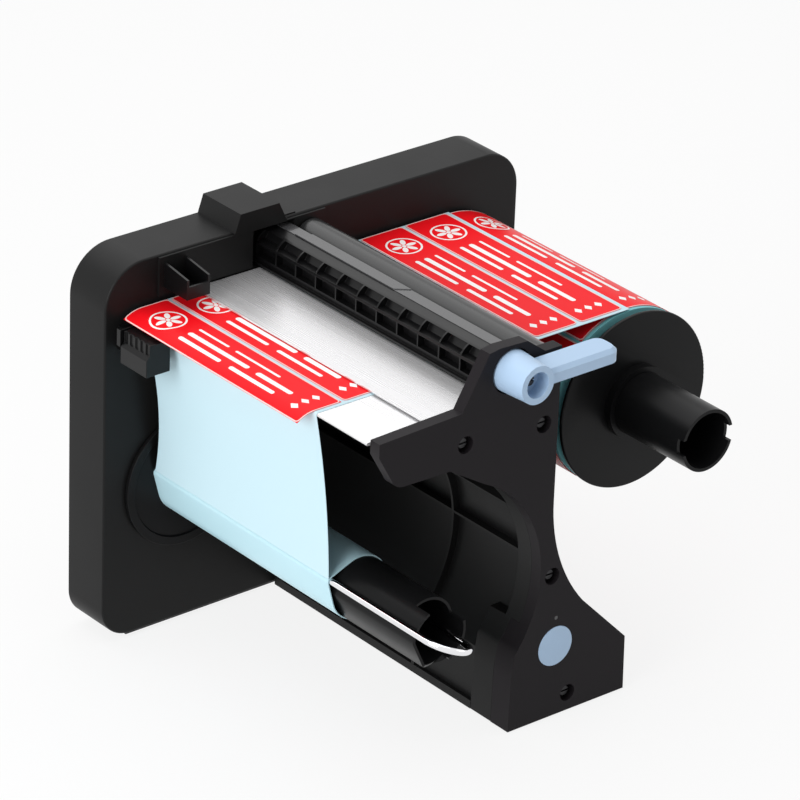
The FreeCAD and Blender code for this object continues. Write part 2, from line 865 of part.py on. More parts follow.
def mechanism_frame():
    """Deck, roller trough, curved and ribbed bay wall, floor beam, gussets and the flange at the housing."""
    near, far = table_near, 0
    deck_low = deck_top - deck_t
    trough_left = nip_x - drive_r - trough_gap
    trough_right = nip_x + drive_r + trough_gap
    trough_low = drive_z - drive_r - trough_gap
    deck = block(peel_x + deck_left_reach, trough_left, near, far, deck_low, deck_top)
    table = block(trough_right, table_right_x, near, far, deck_low, web_z - liner_t / 3)
    trough = block(trough_left - trough_wall, trough_right + trough_wall, near, far,
                   trough_low - trough_wall, deck_top)
    inner_r = bay_r + bay_wall_set_back
    outer_r = inner_r + bay_wall_t
    wall = extrude(bay_wall_face(inner_r, outer_r), near, far)
    wall_top = on_circle(bay_x, bay_z, inner_r, bay_top_deg)
    upright = block(wall_top[0], wall_top[0] + bay_wall_t, near, far, wall_top[1], deck_low)
    shin_left = on_circle(bay_x, bay_z, inner_r, bay_wall_low_deg)
    shin_right = on_circle(bay_x, bay_z, outer_r, bay_wall_low_deg)
    shin = prism([shin_left, shin_right, (shin_right[0], base_lift), (shin_left[0], base_lift)], near, far)
    floor = block(nose_x + toe_left_share * front_w, nose_x + front_w, foot_back, far,
                  base_lift, base_lift + floor_t)
    frame = deck.fuse([table, trough, wall, upright, shin, floor])
    behind = block(wall_top[0], nose_x + front_w, near, far, base_lift, deck_top).cut(
        rod(bay_x, bay_z, inner_r, near - cut_over, far + cut_over))
    starts = [share * near for share in gusset_shares] + [far - gusset_t]
    for y in starts:
        frame = frame.fuse(extrude(side_face(), y, y + gusset_t).common(behind))
    frame = frame.cut(block(trough_left, trough_right, near - cut_over, far + cut_over,
                            trough_low, deck_top + cut_over))
    for degrees in bay_rib_degs:
        frame = frame.fuse(bay_rib(degrees, near, far))
    cross_y = bay_cross_rib_share * near
    cross = extrude(bay_wall_face(inner_r - bay_rib_h, inner_r + bay_wall_t / 2), cross_y,
                    cross_y + bay_rib_t)
    return frame.fuse(cross).cut(extrude(foot_face(), near - cut_over, foot_back))


def peel_plate():
    """The thin steel plate whose rounded left edge bends the liner back on itself."""
    nose_r = plate_t / 2
    right = nip_x - drive_r - trough_gap
    sheet = block(peel_x + nose_r, right, cover_back, -pad_t, deck_top, web_z)
    return sheet.fuse(rod(peel_x + nose_r, web_z - nose_r, nose_r, cover_back, -pad_t))


def cover_plate():
    """The bright sheet that holds the web flat in front of the pressure bar, with its folded near end."""
    low = label_top + cover_sheet_gap
    right = bar_left - cover_bar_gap
    sheet = block(cover_left_x, right, cover_back, -pad_t, low, low + cover_sheet_t)
    spacer_far = cover_back + cover_spacer_w
    foot_left = cover_left_x + cover_spacer_inset
    foot = block(foot_left, right, cover_back, spacer_far, web_z, low)
    far_foot = block(foot_left, right, web_far + piece_gap / 2, -pad_t, web_z, low)
    return sheet.fuse([foot, far_foot])


def edge_guide():
    """The open-topped box that leads the far edge of the web, with a low wall at its near end."""
    left, right = guide_box_left_x, guide_box_left_x + guide_box_w
    low = top_z + guide_box_low
    near = -guide_box_reach
    wall = guide_box_wall
    side = [(near, low), (-pad_t, low), (-pad_t, low + guide_box_back_h), (near, low + guide_box_side_h)]
    edges = [vec(left, y, z) for y, z in side]
    body = Part.Face(Part.makePolygon(edges + [edges[0]])).extrude(vec(right - left, 0, 0))
    room = block(left + wall, right - wall, near + wall, -pad_t + cut_over, low + wall,
                 low + guide_box_back_h + cut_over)
    gap = block(left + wall, right - wall, near - cut_over, near + wall + cut_over, low + guide_box_front_h,
                low + guide_box_back_h)
    return body.cut(room).cut(gap)


# Label sensor

def sensor_block():
    """The sensor's case: ribbed upper face set back over a plain lip."""
    left, right = sensor_left_x, sensor_left_x + sensor_w
    low, top = top_z - sensor_low, top_z - sensor_top
    lip_top = low + sensor_lip_h
    upper = left + sensor_lip_in
    points = [(left, low), (right, low), (right, top), (upper, top), (upper, lip_top + sensor_lip_in),
              (left, lip_top)]
    case = prism(points, -sensor_near, -sensor_far)
    pitch = (sensor_near - sensor_far) / sensor_ribs
    for i in range(sensor_ribs):
        start = -sensor_near + pitch * (i + sensor_rib_gap_share / 2)
        groove = block(upper - cut_over, upper + sensor_rib_depth, start,
                       start + pitch * (1 - sensor_rib_gap_share),
                       lip_top + sensor_lip_in, top + cut_over)
        case = case.cut(groove)
    eye_x, eye_y = sensor_eye_place()
    seat = Part.makeCylinder(sensor_eye_r + seat_gap, sensor_eye_h, vec(eye_x, eye_y, top - sensor_eye_h))
    return case.cut(seat)


def sensor_eye_place():
    return (sensor_left_x + sensor_w * 2 / 3, -(sensor_near + sensor_far) / 2)


def sensor_eye():
    """The round window that looks up at the leading label."""
    eye_x, eye_y = sensor_eye_place()
    top = top_z - sensor_top
    return Part.makeCylinder(sensor_eye_r, sensor_eye_h, vec(eye_x, eye_y, top - sensor_eye_h))


def sensor_bracket():
    """The arm from the housing that carries the sensor, with a clip lip at its left."""
    mid_z = top_z - (sensor_low + sensor_top) / 2
    mid_x = sensor_left_x + sensor_w / 2 + sensor_lip_in
    arm = block(mid_x - sensor_arm_w / 2, mid_x + sensor_arm_w / 2, -sensor_far, 0,
                mid_z - sensor_arm_h / 2, mid_z + sensor_arm_h / 2)
    clip_left = sensor_left_x
    clip = block(clip_left, mid_x, -sensor_far + piece_gap, -sensor_far + piece_gap + sensor_clip_t,
                 mid_z, mid_z + sensor_clip_h)
    lip = block(clip_left, clip_left + sensor_clip_t, -sensor_far + piece_gap,
                -sensor_far + piece_gap + sensor_clip_reach, mid_z, mid_z + sensor_clip_h)
    return arm.fuse([clip, lip])


# Rollers

def drive_roller():
    near, far = table_near - piece_gap, roller_far - bush_flange_t
    return ring(nip_x, drive_z, drive_r, drive_shaft_r, near + bush_flange_t, far)


def drive_shaft():
    near = cover_back + cover_wall + piece_gap
    return rod(nip_x, drive_z, drive_shaft_r, near, drive_belt_y + belt_w)


def guide_roller():
    """The smooth dark roller behind the pressure bar."""
    return ring(guide_x, guide_z, guide_r, guide_axle_r + running_gap, bar_near, roller_far)


def guide_axle():
    return rod(guide_x, guide_z, guide_axle_r, front + cover_wall, housing_wall)


def pinch_roller():
    """The rubber roller carried in the pressure bar, with its shaft ends."""
    inset = bar_end_wall + piece_gap
    body = rod(nip_x, pinch_z, pinch_r, bar_near + bar_end_block + piece_gap, roller_far - inset)
    shaft = rod(nip_x, pinch_z, pinch_shaft_r, bar_near + piece_gap, roller_far - piece_gap)
    return body.fuse(shaft)


# Pressure bar and lever

def bar_face():
    """The bar's section: upright left face, rounded shoulder, flat top."""
    shoulder = (bar_left, bar_shoulder)
    crown = (bar_crown_x, bar_top)
    run, rise = crown[0] - shoulder[0], crown[1] - shoulder[1]
    size = math.hypot(run, rise)
    middle = ((shoulder[0] + crown[0]) / 2 - bar_crown_bulge * rise / size,
              (shoulder[1] + crown[1]) / 2 + bar_crown_bulge * run / size)
    return outline((bar_left, bar_low), [
        (shoulder,), (middle, crown), ((bar_right, bar_top),), ((bar_right, bar_low),),
        ((bar_left, bar_low),),
    ])


def bar_cell_faces():
    """The two pocket sections: one in the upright face and one in the shoulder."""
    floor_x = bar_left + bar_cell_depth
    lower = [
        (bar_left - cut_over, bar_low + bar_low_rim),
        (floor_x, bar_low + bar_low_rim),
        (floor_x, bar_shoulder - bar_rib_t),
        (bar_left - cut_over, bar_shoulder - bar_rib_t),
    ]
    upper = [
        (bar_left - cut_over, bar_shoulder + bar_rib_t / 2),
        (floor_x + bar_rib_t, bar_shoulder + bar_rib_t / 2),
        (bar_crown_x + bar_rib_t, bar_shoulder + bar_cell_depth),
        (bar_crown_x - bar_rib_t, bar_top - bar_rib_t),
        (bar_crown_x - bar_cell_depth, bar_top + bar_rib_t),
        (bar_left - cut_over, bar_top),
    ]
    return [lower, upper]


def pressure_bar():
    """The ribbed bar: two rows of open cells, a cavity for the pinch roller and a bored hinge."""
    bar = extrude(bar_face(), bar_near, bar_far)
    cells_near, cells_far = bar_near + bar_end_block, bar_far - bar_rim
    pitch = (cells_far - cells_near) / bar_cells
    for i in range(bar_cells):
        start = cells_near + i * pitch
        for points in bar_cell_faces():
            bar = bar.cut(prism(points, start + bar_rib_t / 2, start + pitch - bar_rib_t / 2))
    cavity_top = web_z + bar_cavity_rise
    bar = bar.cut(block(nip_x - bar_cavity_half_w, nip_x + bar_cavity_half_w,
                        bar_near + bar_end_block, roller_far - bar_end_wall, bar_low - cut_over, cavity_top))
    slot_r = pinch_shaft_r + running_gap
    bar = bar.cut(rod(nip_x, pinch_z, slot_r, bar_near - cut_over, bar_far + cut_over))
    bar = bar.cut(rod(bar_pin_x, bar_pin_z, bar_pin_r + running_gap, bar_near - cut_over,
                      bar_far + cut_over))
    room_top = lever_z + crank_pin_r + crank_roof_gap
    room_left = lever_x - crank_pin_r - crank_offset
    bar = bar.cut(block(room_left, room_left + crank_room_w, bar_near - cut_over,
                        bar_near + crank_pin_l + piece_gap, room_top - crank_room_h, room_top))
    spring_r = bar_pin_r + running_gap + spring_wall + piece_gap
    for y in bar_spring_starts():
        bar = bar.cut(rod(bar_pin_x, bar_pin_z, spring_r, y - piece_gap, y + spring_l + piece_gap))
    lip = block(bar_left - bar_lip_reach, bar_left, bar_near, bar_far, bar_low, bar_low + bar_lip_t)
    return bar.fuse(lip)


def bar_strip():
    """The glossy strip let on to the bar's top, with a raised panel that ends in slants."""
    left = nip_x + strip_reach
    right = left + strip_w
    base = block(left, right, bar_near, bar_far, bar_top, bar_top + strip_inset_t)
    far = bar_far - strip_far_slant
    near = bar_far - strip_near_share * (bar_far - bar_near)
    corners = [(left, near), (right, near - strip_slant_l), (right, far - strip_slant_l), (left, far)]
    low = bar_top + strip_inset_t
    points = [vec(x, y, low) for x, y in corners]
    panel = Part.Face(Part.makePolygon(points + [points[0]])).extrude(vec(0, 0, strip_t - strip_inset_t))
    return base.fuse(panel)


def bar_hinge_pin():
    return rod(bar_pin_x, bar_pin_z, bar_pin_r, cover_back - bar_pin_seat, pocket_far)


def bar_spring_starts():
    """Where each closing spring starts along the hinge pin."""
    near, far = bar_near + bar_end_block, roller_far - bar_end_block
    return [near, far - spring_l]


def bar_springs():
    """The two closing springs, wound round the hinge pin inside the bar."""
    inner = bar_pin_r + seat_gap
    return group([ring(bar_pin_x, bar_pin_z, inner + spring_wall, inner, y, y + spring_l)
                  for y in bar_spring_starts()])


def lever():
    """The blue lever: a tapering hub with a deep screw socket and a flat arm with a rounded tip."""
    back = front + lever_recess - piece_gap
    near = front - lever_hub_reach
    hub = taper(lever_x, lever_z, lever_hub_front_r, lever_hub_back_r, near, back)
    arm_far = front - piece_gap
    arm_near = near + lever_arm_back / 2
    low, high = lever_z - lever_arm_low, lever_z - lever_arm_low + lever_arm_t
    arm = block(lever_x, lever_x + lever_arm_l, arm_near, arm_far, low, high)
    tips = [e for e in arm.Edges if all(abs(v.X - lever_x - lever_arm_l) < seat_gap for v in e.Vertexes)
            and abs(e.Vertexes[0].Y - e.Vertexes[1].Y) < seat_gap]
    arm = arm.makeFillet(lever_tip_round, tips)
    ridge = [e for e in arm.Edges if all(abs(v.Y - arm_near) < seat_gap and abs(v.Z - high) < seat_gap
                                         for v in e.Vertexes)]
    arm = arm.makeChamfer(lever_chamfer, ridge)
    body = hub.fuse(arm)
    body = body.cut(rod(lever_x, lever_z, lever_socket_r, near - cut_over, near + lever_socket_depth))
    key_r = lever_shaft_r
    return body.cut(rod(lever_x, lever_z, key_r, near + lever_socket_depth + lever_arm_back,
                        back + cut_over)).cut(
        rod(lever_x, lever_z, screw_shank_r + seat_gap, near, back + cut_over))


def lever_screw():
    floor_y = front - lever_hub_reach + lever_socket_depth
    return screw(lever_x, lever_z, floor_y - screw_head_h, 1, screw_grip)


def lever_shaft():
    """The steel shaft from the lever through the cover, with the crank pin that lifts the bar."""
    start = front - lever_hub_reach + lever_socket_depth + lever_arm_back
    end = cover_back + piece_gap
    shaft = rod(lever_x, lever_z, lever_shaft_r, start, end)
    shaft = shaft.cut(rod(lever_x, lever_z, screw_shank_r + seat_gap, start - cut_over,
                          start + screw_grip))
    pin = rod(lever_x + crank_offset, lever_z, crank_pin_r, end, bar_near + crank_pin_l)
    return shaft.fuse(pin)


# Supply reel

def supply_axle():
    """The fixed axle with its shoulder against the housing's front wall."""
    axle = rod(supply_x, supply_z, supply_axle_r, -supply_axle_l, housing_wall + nut_flange_t + axle_nut_t)
    return axle.fuse(rod(supply_x, supply_z, axle_shoulder_r, -axle_shoulder_t, 0))


def supply_axle_nut():
    """The flanged nut that clamps the axle to the wall from inside."""
    low = housing_wall + nut_flange_t
    turn = 360 / nut_sides
    corners = [on_circle(supply_x, supply_z, axle_nut_r, turn * i) for i in range(nut_sides)]
    nut = prism(corners, low, low + axle_nut_t).fuse(
        rod(supply_x, supply_z, nut_flange_r, housing_wall, low))
    return nut.cut(rod(supply_x, supply_z, supply_axle_r + seat_gap, housing_wall - cut_over,
                       low + axle_nut_t + cut_over))


def supply_axle_clip():
    end = -supply_axle_l
    return ring(supply_x, supply_z, axle_clip_r, supply_axle_r + seat_gap, end, end + axle_clip_t)


def supply_hub():
    """The long thin-walled tube that the roll sits on, with base disc, bearings and a notched end."""
    far = -web_start_y + supply_base_t
    near = -supply_hub_l
    tube = ring(supply_x, supply_z, supply_hub_r, supply_hub_r - supply_hub_wall, near, far)
    base = ring(supply_x, supply_z, supply_base_r, supply_hub_r - supply_hub_wall, far - supply_base_t, far)
    bearing_bore = supply_axle_r + running_gap
    inner_r = supply_hub_r - supply_hub_wall / 2
    back_web = ring(supply_x, supply_z, inner_r, bearing_bore, far - supply_bearing_t, far)
    web_near_y = -supply_axle_l + axle_clip_t + piece_gap
    front_web = ring(supply_x, supply_z, inner_r, bearing_bore, web_near_y, web_near_y + supply_bearing_t)
    hub = tube.fuse([base, back_web, front_web])
    half = supply_notch_w / 2
    reach = supply_hub_r + cut_over
    notch = block(supply_x - reach, supply_x + reach, near - cut_over, near + supply_notch_l,
                  supply_z - half, supply_z + half)
    return hub.cut(notch)


def roll_core():
    return ring(supply_x, supply_z, roll_bore_r, supply_hub_r + core_gap, web_near, web_far)


def label_roll():
    """The wound liner, as one solid ring."""
    return ring(supply_x, supply_z, roll_r, roll_bore_r, web_near, web_far)


def roll_labels():
    """The labels of the roll's outer turn, bent to its radius."""
    inner_r, outer_r = roll_r + wound_gap, roll_r + wound_gap + label_t
    pitch_deg = math.degrees(label_pitch / roll_r)
    span_deg = math.degrees(label_w / roll_r)
    last_x = roll_side_label_x + roll_side_label_count * label_pitch
    first_deg = 90 + math.degrees((supply_x - last_x) / roll_r)
    count = int(360 / pitch_deg)
    pieces = []
    for i in range(count):
        high = first_deg - i * pitch_deg
        low = high - span_deg
        middle = (high + low) / 2
        face = outline(on_circle(supply_x, supply_z, inner_r, high), [
            (on_circle(supply_x, supply_z, inner_r, middle), on_circle(supply_x, supply_z, inner_r, low)),
            (on_circle(supply_x, supply_z, outer_r, low),),
            (on_circle(supply_x, supply_z, outer_r, middle), on_circle(supply_x, supply_z, outer_r, high)),
            (on_circle(supply_x, supply_z, inner_r, high),),
        ])
        pieces.append(extrude(face, label_near, label_far))
    return group(pieces)


def supply_flange():
    """The removable disc that keeps the roll on its hub."""
    far = web_near - flange_gap
    disc = rod(supply_x, supply_z, flange_r, far - flange_t, far)
    rims = [e for e in disc.Edges if e.Closed]
    disc = disc.makeFillet(flange_t / 3, rims)
    collar = rod(supply_x, supply_z, flange_collar_r, far - flange_t - flange_collar_l, far - flange_t / 2)
    return disc.fuse(collar).cut(rod(supply_x, supply_z, supply_hub_r + 2 * running_gap,
                                     far - flange_t - flange_collar_l - cut_over, far + cut_over))


# Web, liner and labels

def web_top():
    """The straight run of the web, from the top of the roll to the peel plate's edge."""
    return block(peel_x + plate_t / 2, supply_x, web_near, web_far, web_z, web_z + liner_t)


def liner_drop():
    """The bare liner: round the peel edge and down, slightly bowed, to the clip on the take-up reel."""
    nose_r = plate_t / 2
    nose_x_mid, nose_z_mid = peel_x + nose_r, web_z - nose_r
    apart_x, apart_z = clip_outer_x - nose_x_mid, clip_outer_z - nose_z_mid
    apart = math.hypot(apart_x, apart_z)
    heading = math.degrees(math.atan2(apart_z, apart_x))
    lean = math.degrees(math.acos((nose_r - clip_room_r) / apart))
    side = heading - lean
    middle = (90 + side + 360) / 2 if side < 0 else (90 + side) / 2
    nose, runs = [], []
    for grow in (0, liner_t):
        nose.append([on_circle(nose_x_mid, nose_z_mid, nose_r + grow, angle)
                     for angle in (90, middle, side)])
        low = on_circle(clip_outer_x, clip_outer_z, clip_room_r + grow, side)
        half_way = ((nose[-1][2][0] + low[0]) / 2, (nose[-1][2][1] + low[1]) / 2)
        runs.append((on_circle(half_way[0], half_way[1], -drop_bow, side), low))
    face = outline(nose[0][0], [
        (nose[0][1], nose[0][2]),
        runs[0],
        (runs[1][1],),
        (runs[1][0], nose[1][2]),
        (nose[1][1], nose[1][0]),
        (nose[0][0],),
    ])
    reel_room = rod(take_up_x, take_up_z, take_up_sweep_r + piece_gap, web_near - cut_over,
                    web_far + cut_over)
    return extrude(face, web_near, web_far).cut(drop_waist_cutter()).cut(reel_room)


def drop_waist_cutter():
    """What is cut off the hanging liner's far edge, which draws in halfway down."""
    high, low = deck_top, take_up_z + drop_waist_low
    left, right = peel_x - cut_over, take_up_x
    arc = Part.Arc(vec(left, web_far, high), vec(left, web_far - drop_waist, (high + low) / 2),
                   vec(left, web_far, low)).toShape()
    past = web_far + cut_over
    closing = [vec(left, web_far, low), vec(left, past, low), vec(left, past, high), vec(left, web_far, high)]
    edges = [Part.LineSegment(a, b).toShape() for a, b in zip(closing, closing[1:])]
    return Part.Face(Part.Wire([arc] + edges)).extrude(vec(right - left, 0, 0))


def flat_label(left):
    """One label lying on the web, with rounded corners."""
    low = web_z + liner_t
    label = block(left, left + label_w, label_near, label_far, low, low + label_t)
    uprights = [e for e in label.Edges if abs(e.Vertexes[0].Z - e.Vertexes[1].Z) > label_t / 2]
    return label.makeFillet(label_corner, uprights)


def web_labels():
    """The labels that lie flat on the web, before and behind the pressure bar."""
    feed = [leading_edge_x + (i + 1) * label_pitch for i in range(feed_side_label_count)]
    roll = [roll_side_label_x + i * label_pitch for i in range(roll_side_label_count)]
    return group([flat_label(x) for x in feed + roll])


def leading_label():
    """The label being peeled: flat on the plate, then hanging over the edge."""
    low = web_z + liner_t
    right = leading_edge_x + label_w
    bend_x = peel_x + plate_t / 2
    bend_r = (bend_x - leading_edge_x) / math.radians(leading_droop_deg)
    ends = [90, 90 + leading_droop_deg / 2, 90 + leading_droop_deg]
    under, over = [[on_circle(bend_x, low - bend_r, radius, angle) for angle in ends]
                   for radius in (bend_r, bend_r + label_t)]
    face = outline((right, low), [
        ((right, low + label_t),),
        (over[0],),
        (over[1], over[2]),
        (under[2],),
        (under[1], under[0]),
        ((right, low),),
    ])
    return extrude(face, label_near, label_far)


# Take-up reel

def take_up_far():
    return -take_up_back_gap


def take_up_flange():
    """The black disc with a raised rim beside the housing."""
    far = take_up_far()
    disc = rod(take_up_x, take_up_z, take_up_flange_r, far - take_up_flange_t, far)
    rim = ring(take_up_x, take_up_z, take_up_flange_r, take_up_flange_r - take_up_lip_w,
               far - take_up_flange_t - take_up_lip_t, far - take_up_flange_t)
    return disc.fuse(rim).cut(rod(take_up_x, take_up_z, take_up_shaft_r + seat_gap,
                                  far - drum_l, far + cut_over))


def take_up_drum():
    """The thin-walled drum: one flat facet with a slanted end, a notched mouth and the clip's socket."""
    far = take_up_far() - take_up_flange_t
    near = -drum_l
    inner_r = drum_r - drum_wall
    drum = rod(take_up_x, take_up_z, drum_r, near, far)
    facet = on_circle(take_up_x, take_up_z, drum_r - drum_facet_depth, drum_facet_deg)
    cutter = block(0, drum_r, near - cut_over, far + cut_over, -drum_r, drum_r)
    cutter.rotate(vec(0, 0, 0), vec(0, 1, 0), -drum_facet_deg)
    cutter.translate(vec(facet[0], 0, facet[1]))
    drum = drum.cut(cutter)
    room = rod(take_up_x, take_up_z, inner_r, near - cut_over, far - drum_web_t)
    room_cutter = cutter.copy()
    back = on_circle(0, 0, drum_wall, drum_facet_deg)
    room_cutter.translate(vec(-back[0], 0, -back[1]))
    drum = drum.cut(room.cut(room_cutter))
    drum = drum.cut(rod(take_up_x, take_up_z, take_up_shaft_r + seat_gap, far - drum_web_t - cut_over,
                        far + cut_over))
    mouth = [on_circle(take_up_x, take_up_z, 2 * drum_r, angle) for angle in drum_notch_degs]
    drum = drum.cut(prism([(take_up_x, take_up_z)] + mouth, near - cut_over, near + drum_notch_l))
    corner = block(0, drum_r + cut_over, near - drum_r, near, -2 * drum_r, drum_r)
    corner.rotate(vec(0, near, drum_r / 2), vec(1, 0, 0), -drum_corner_deg)
    corner.rotate(vec(0, 0, 0), vec(0, 1, 0), -drum_facet_deg)
    corner.translate(vec(take_up_x, 0, take_up_z))
    drum = drum.cut(corner)
    socket_near = near + clip_socket_inset
    socket_far = socket_near + clip_socket_l
    bore_r = clip_wire_r + running_gap
    socket = ring(clip_inner_leg_x, clip_inner_leg_z, bore_r + clip_socket_wall, bore_r,
                  socket_near, socket_far)
    web_half = clip_socket_wall / 2
    web_top_z = take_up_z + math.sqrt((drum_r - drum_wall / 2) ** 2 - clip_inner_x ** 2)
    web = block(clip_inner_leg_x - web_half, clip_inner_leg_x + web_half, socket_near, socket_far,
                clip_inner_leg_z + bore_r + web_half, web_top_z)
    return drum.fuse([socket, web])


def take_up_shaft():
    near = take_up_far() - take_up_flange_t - drum_web_t
    return rod(take_up_x, take_up_z, take_up_shaft_r, near, take_up_belt_y + belt_w)


def waste_liner_roll():
    """The first turns of waste liner, wound over the drum and the clip's outer leg."""
    turns = [loop_face(take_up_x, take_up_z, drum_r + grow, clip_outer_x, clip_outer_z,
                       clip_room_r + grow) for grow in (0, waste_t)]
    return extrude(turns[1], web_near, web_far).cut(
        extrude(turns[0], web_near - cut_over, web_far + cut_over))


def wire_clip():
    """The chrome wire bent to a U: one leg over the drum, one in its socket."""
    outer = vec(clip_outer_x, 0, clip_outer_z)
    inner = vec(clip_inner_leg_x, 0, clip_inner_leg_z)
    across = inner.sub(outer)
    bend_r = across.Length / 2
    bend_y = -clip_reach + clip_wire_r + bend_r
    side_y = bend_y - bend_r
    leg_end = bend_y + clip_leg_l
    inner_end = -drum_l + clip_socket_inset + clip_socket_l - piece_gap
    middle = outer.add(across.multiply(1 / 2))
    start = vec(outer.x, leg_end, outer.z)
    turn_in = vec(outer.x, bend_y, outer.z)
    turn_out = vec(inner.x, bend_y, inner.z)
    end = vec(inner.x, inner_end, inner.z)
    edges = [
        Part.LineSegment(start, turn_in).toShape(),
        Part.Arc(turn_in, vec(middle.x, side_y, middle.z), turn_out).toShape(),
        Part.LineSegment(turn_out, end).toShape(),
    ]
    section = Part.Wire(Part.Circle(start, vec(0, 1, 0), clip_wire_r).toShape())
    return Part.Wire(edges).makePipeShell([section], True, False)


# Drive train

def pulley(x, z, radius, shaft_r, y_low):
    """A flat-faced pulley with a thin rim each side of its belt."""
    rim_r = radius + belt_t + piece_gap
    core = rod(x, z, radius, y_low, y_low + belt_w)
    far_rim = rod(x, z, rim_r, y_low + belt_w - pulley_rim_t / 2, y_low + belt_w)
    near_rim = rod(x, z, rim_r, y_low, y_low + pulley_rim_t / 2)
    return core.fuse([far_rim, near_rim]).cut(rod(x, z, shaft_r + seat_gap, y_low - cut_over,
                                                  y_low + belt_w + cut_over))


def belt(x_a, z_a, r_a, x_b, z_b, r_b, y_low):
    """An endless flat belt round two pulleys, narrower than they are."""
    inset = pulley_rim_t / 2 + piece_gap
    low, high = y_low + inset, y_low + belt_w - inset
    gap = piece_gap
    outer = loop_face(x_a, z_a, r_a + gap + belt_t, x_b, z_b, r_b + gap + belt_t)
    inner = loop_face(x_a, z_a, r_a + gap, x_b, z_b, r_b + gap)
    return extrude(outer, low, high).cut(extrude(inner, low - cut_over, high + cut_over))


def motor_body():
    """The flat motor, held against the inside of the housing's front wall."""
    half = motor_side / 2
    corner = motor_corner
    face = rounded_face(motor_x - half, motor_x + half, motor_z - half, motor_z + half,
                        corner, corner, corner)
    low, high = housing_wall, housing_wall + motor_t
    body = extrude(face, low, high)
    body = body.fuse(rod(motor_x, motor_z, motor_collar_r, high, high + motor_collar_t))
    body = body.cut(rod(motor_x, motor_z, motor_shaft_r + running_gap, low + motor_t / 2,
                        high + motor_collar_t + cut_over))
    for x, z in motor_screw_places():
        body = body.cut(rod(x, z, screw_shank_r + seat_gap, low + motor_t / 2, high + cut_over))
    return body


def motor_screw_places():
    half = motor_screw_pitch / 2
    return [(motor_x + i * half, motor_z + j * half) for i in (-1, 1) for j in (-1, 1)]


def motor_screws():
    high = housing_wall + motor_t
    return group([screw(x, z, high + screw_head_h, -1, screw_grip) for x, z in motor_screw_places()])


def motor_pulley():
    """The motor's shaft with its two belt tracks."""
    start = housing_wall + motor_t / 2 + piece_gap
    shaft = rod(motor_x, motor_z, motor_shaft_r, start, take_up_belt_y + belt_w)
    tracks = [pulley(motor_x, motor_z, motor_pulley_r, motor_shaft_r - 2 * seat_gap, y)
              for y in (drive_belt_y, take_up_belt_y)]
    sleeve = rod(motor_x, motor_z, motor_pulley_r / 2, drive_belt_y, take_up_belt_y + belt_w)
    return shaft.fuse(tracks + [sleeve])


def shaft_bushes():
    """The flanged bushes that the drive shaft and the take-up shaft turn in."""
    pieces = []
    low, high = -bush_flange_t, housing_wall
    for x, z, radius in [(nip_x, drive_z, drive_shaft_r), (take_up_x, take_up_z, take_up_shaft_r)]:
        sleeve = ring(x, z, radius + bush_wall, radius + running_gap, 0, high)
        cap = ring(x, z, bush_flange_r, radius + running_gap, high, high - low)
        pieces.append(sleeve.fuse(cap))
    near = cover_back + cover_wall
    bush = ring(nip_x, drive_z, drive_shaft_r + bush_wall, drive_shaft_r + running_gap, near,
                side_plate_back)
    pieces.append(bush)
    return group(pieces)


# Board, inlet, switch, button

def control_board():
    """The circuit board with a chip, two capacitors and a plug block."""
    high = board_y + board_t
    board = block(board_x, board_x + board_w, board_y, high, board_z, board_z + board_h)
    chip_x, chip_z = board_x + board_w / 3, board_z + board_h / 3
    chip = block(chip_x, chip_x + board_chip_w, high, high + board_chip_t, chip_z, chip_z + board_chip_w)
    plug = block(chip_x, chip_x + 2 * board_chip_w, high, high + 2 * board_chip_t,
                 board_z + board_h - board_chip_w, board_z + board_h - board_chip_w / 2)
    caps = [rod(board_x + board_w * share, board_z + board_h / 2, board_cap_r, high, high + board_cap_h)
            for share in board_cap_shares]
    return board.fuse([chip, plug] + caps)


def power_inlet():
    """The round low-voltage socket in the rear cover."""
    low, high = housing_t - inlet_l, housing_t
    body = rod(inlet_x, inlet_z, inlet_r, low, high)
    body = body.cut(rod(inlet_x, inlet_z, inlet_bore_r, low + inlet_floor_t, high + cut_over))
    return body.fuse(rod(inlet_x, inlet_z, inlet_pin_r, low, high - inlet_floor_t))


def switch_frame():
    """The power switch's case, set into the rear cover."""
    half_w, half_h = switch_w / 2, switch_h / 2
    low, high = housing_t - switch_l, housing_t
    case = block(switch_x - half_w, switch_x + half_w, low, high, switch_z - half_h, switch_z + half_h)
    wall = switch_frame_t
    case = case.cut(block(switch_x - half_w + wall, switch_x + half_w - wall, low + wall, high + cut_over,
                          switch_z - half_h + wall, switch_z + half_h - wall))
    return case.cut(rocker_pin(running_gap))


def rocker_pin(grow):
    """The upright pin that the rocker turns on, held half way into the case's walls."""
    half = switch_h / 2 - switch_frame_t / 2 + grow
    return Part.makeCylinder(rocker_pin_r + grow, 2 * half,
                             vec(switch_x, housing_t - rocker_pivot_depth, switch_z - half))


def switch_rocker():
    """The rocker, shown pressed at its left end, which is off."""
    half_w = switch_w / 2 - switch_frame_t - rocker_gap
    half_h = switch_h / 2 - switch_frame_t - rocker_gap
    pivot_y = housing_t - rocker_pivot_depth
    lean = math.tan(math.radians(rocker_half_deg)) * half_w
    narrow = half_w * math.cos(math.radians(2 * rocker_half_deg)) - rocker_gap
    top_y = housing_t - rocker_low
    corners = [(-narrow, top_y - lean), (0, top_y - 2 * lean), (narrow, top_y - lean),
               (half_w / 2, pivot_y - rocker_depth / 2), (-half_w / 2, pivot_y - rocker_depth / 2)]
    points = [vec(switch_x + x, y, switch_z - half_h) for x, y in corners]
    rocker = Part.Face(Part.makePolygon(points + [points[0]])).extrude(vec(0, 0, 2 * half_h))
    rocker.rotate(vec(switch_x, pivot_y, switch_z), vec(0, 0, 1), -rocker_half_deg)
    return rocker.fuse(rocker_pin(0))


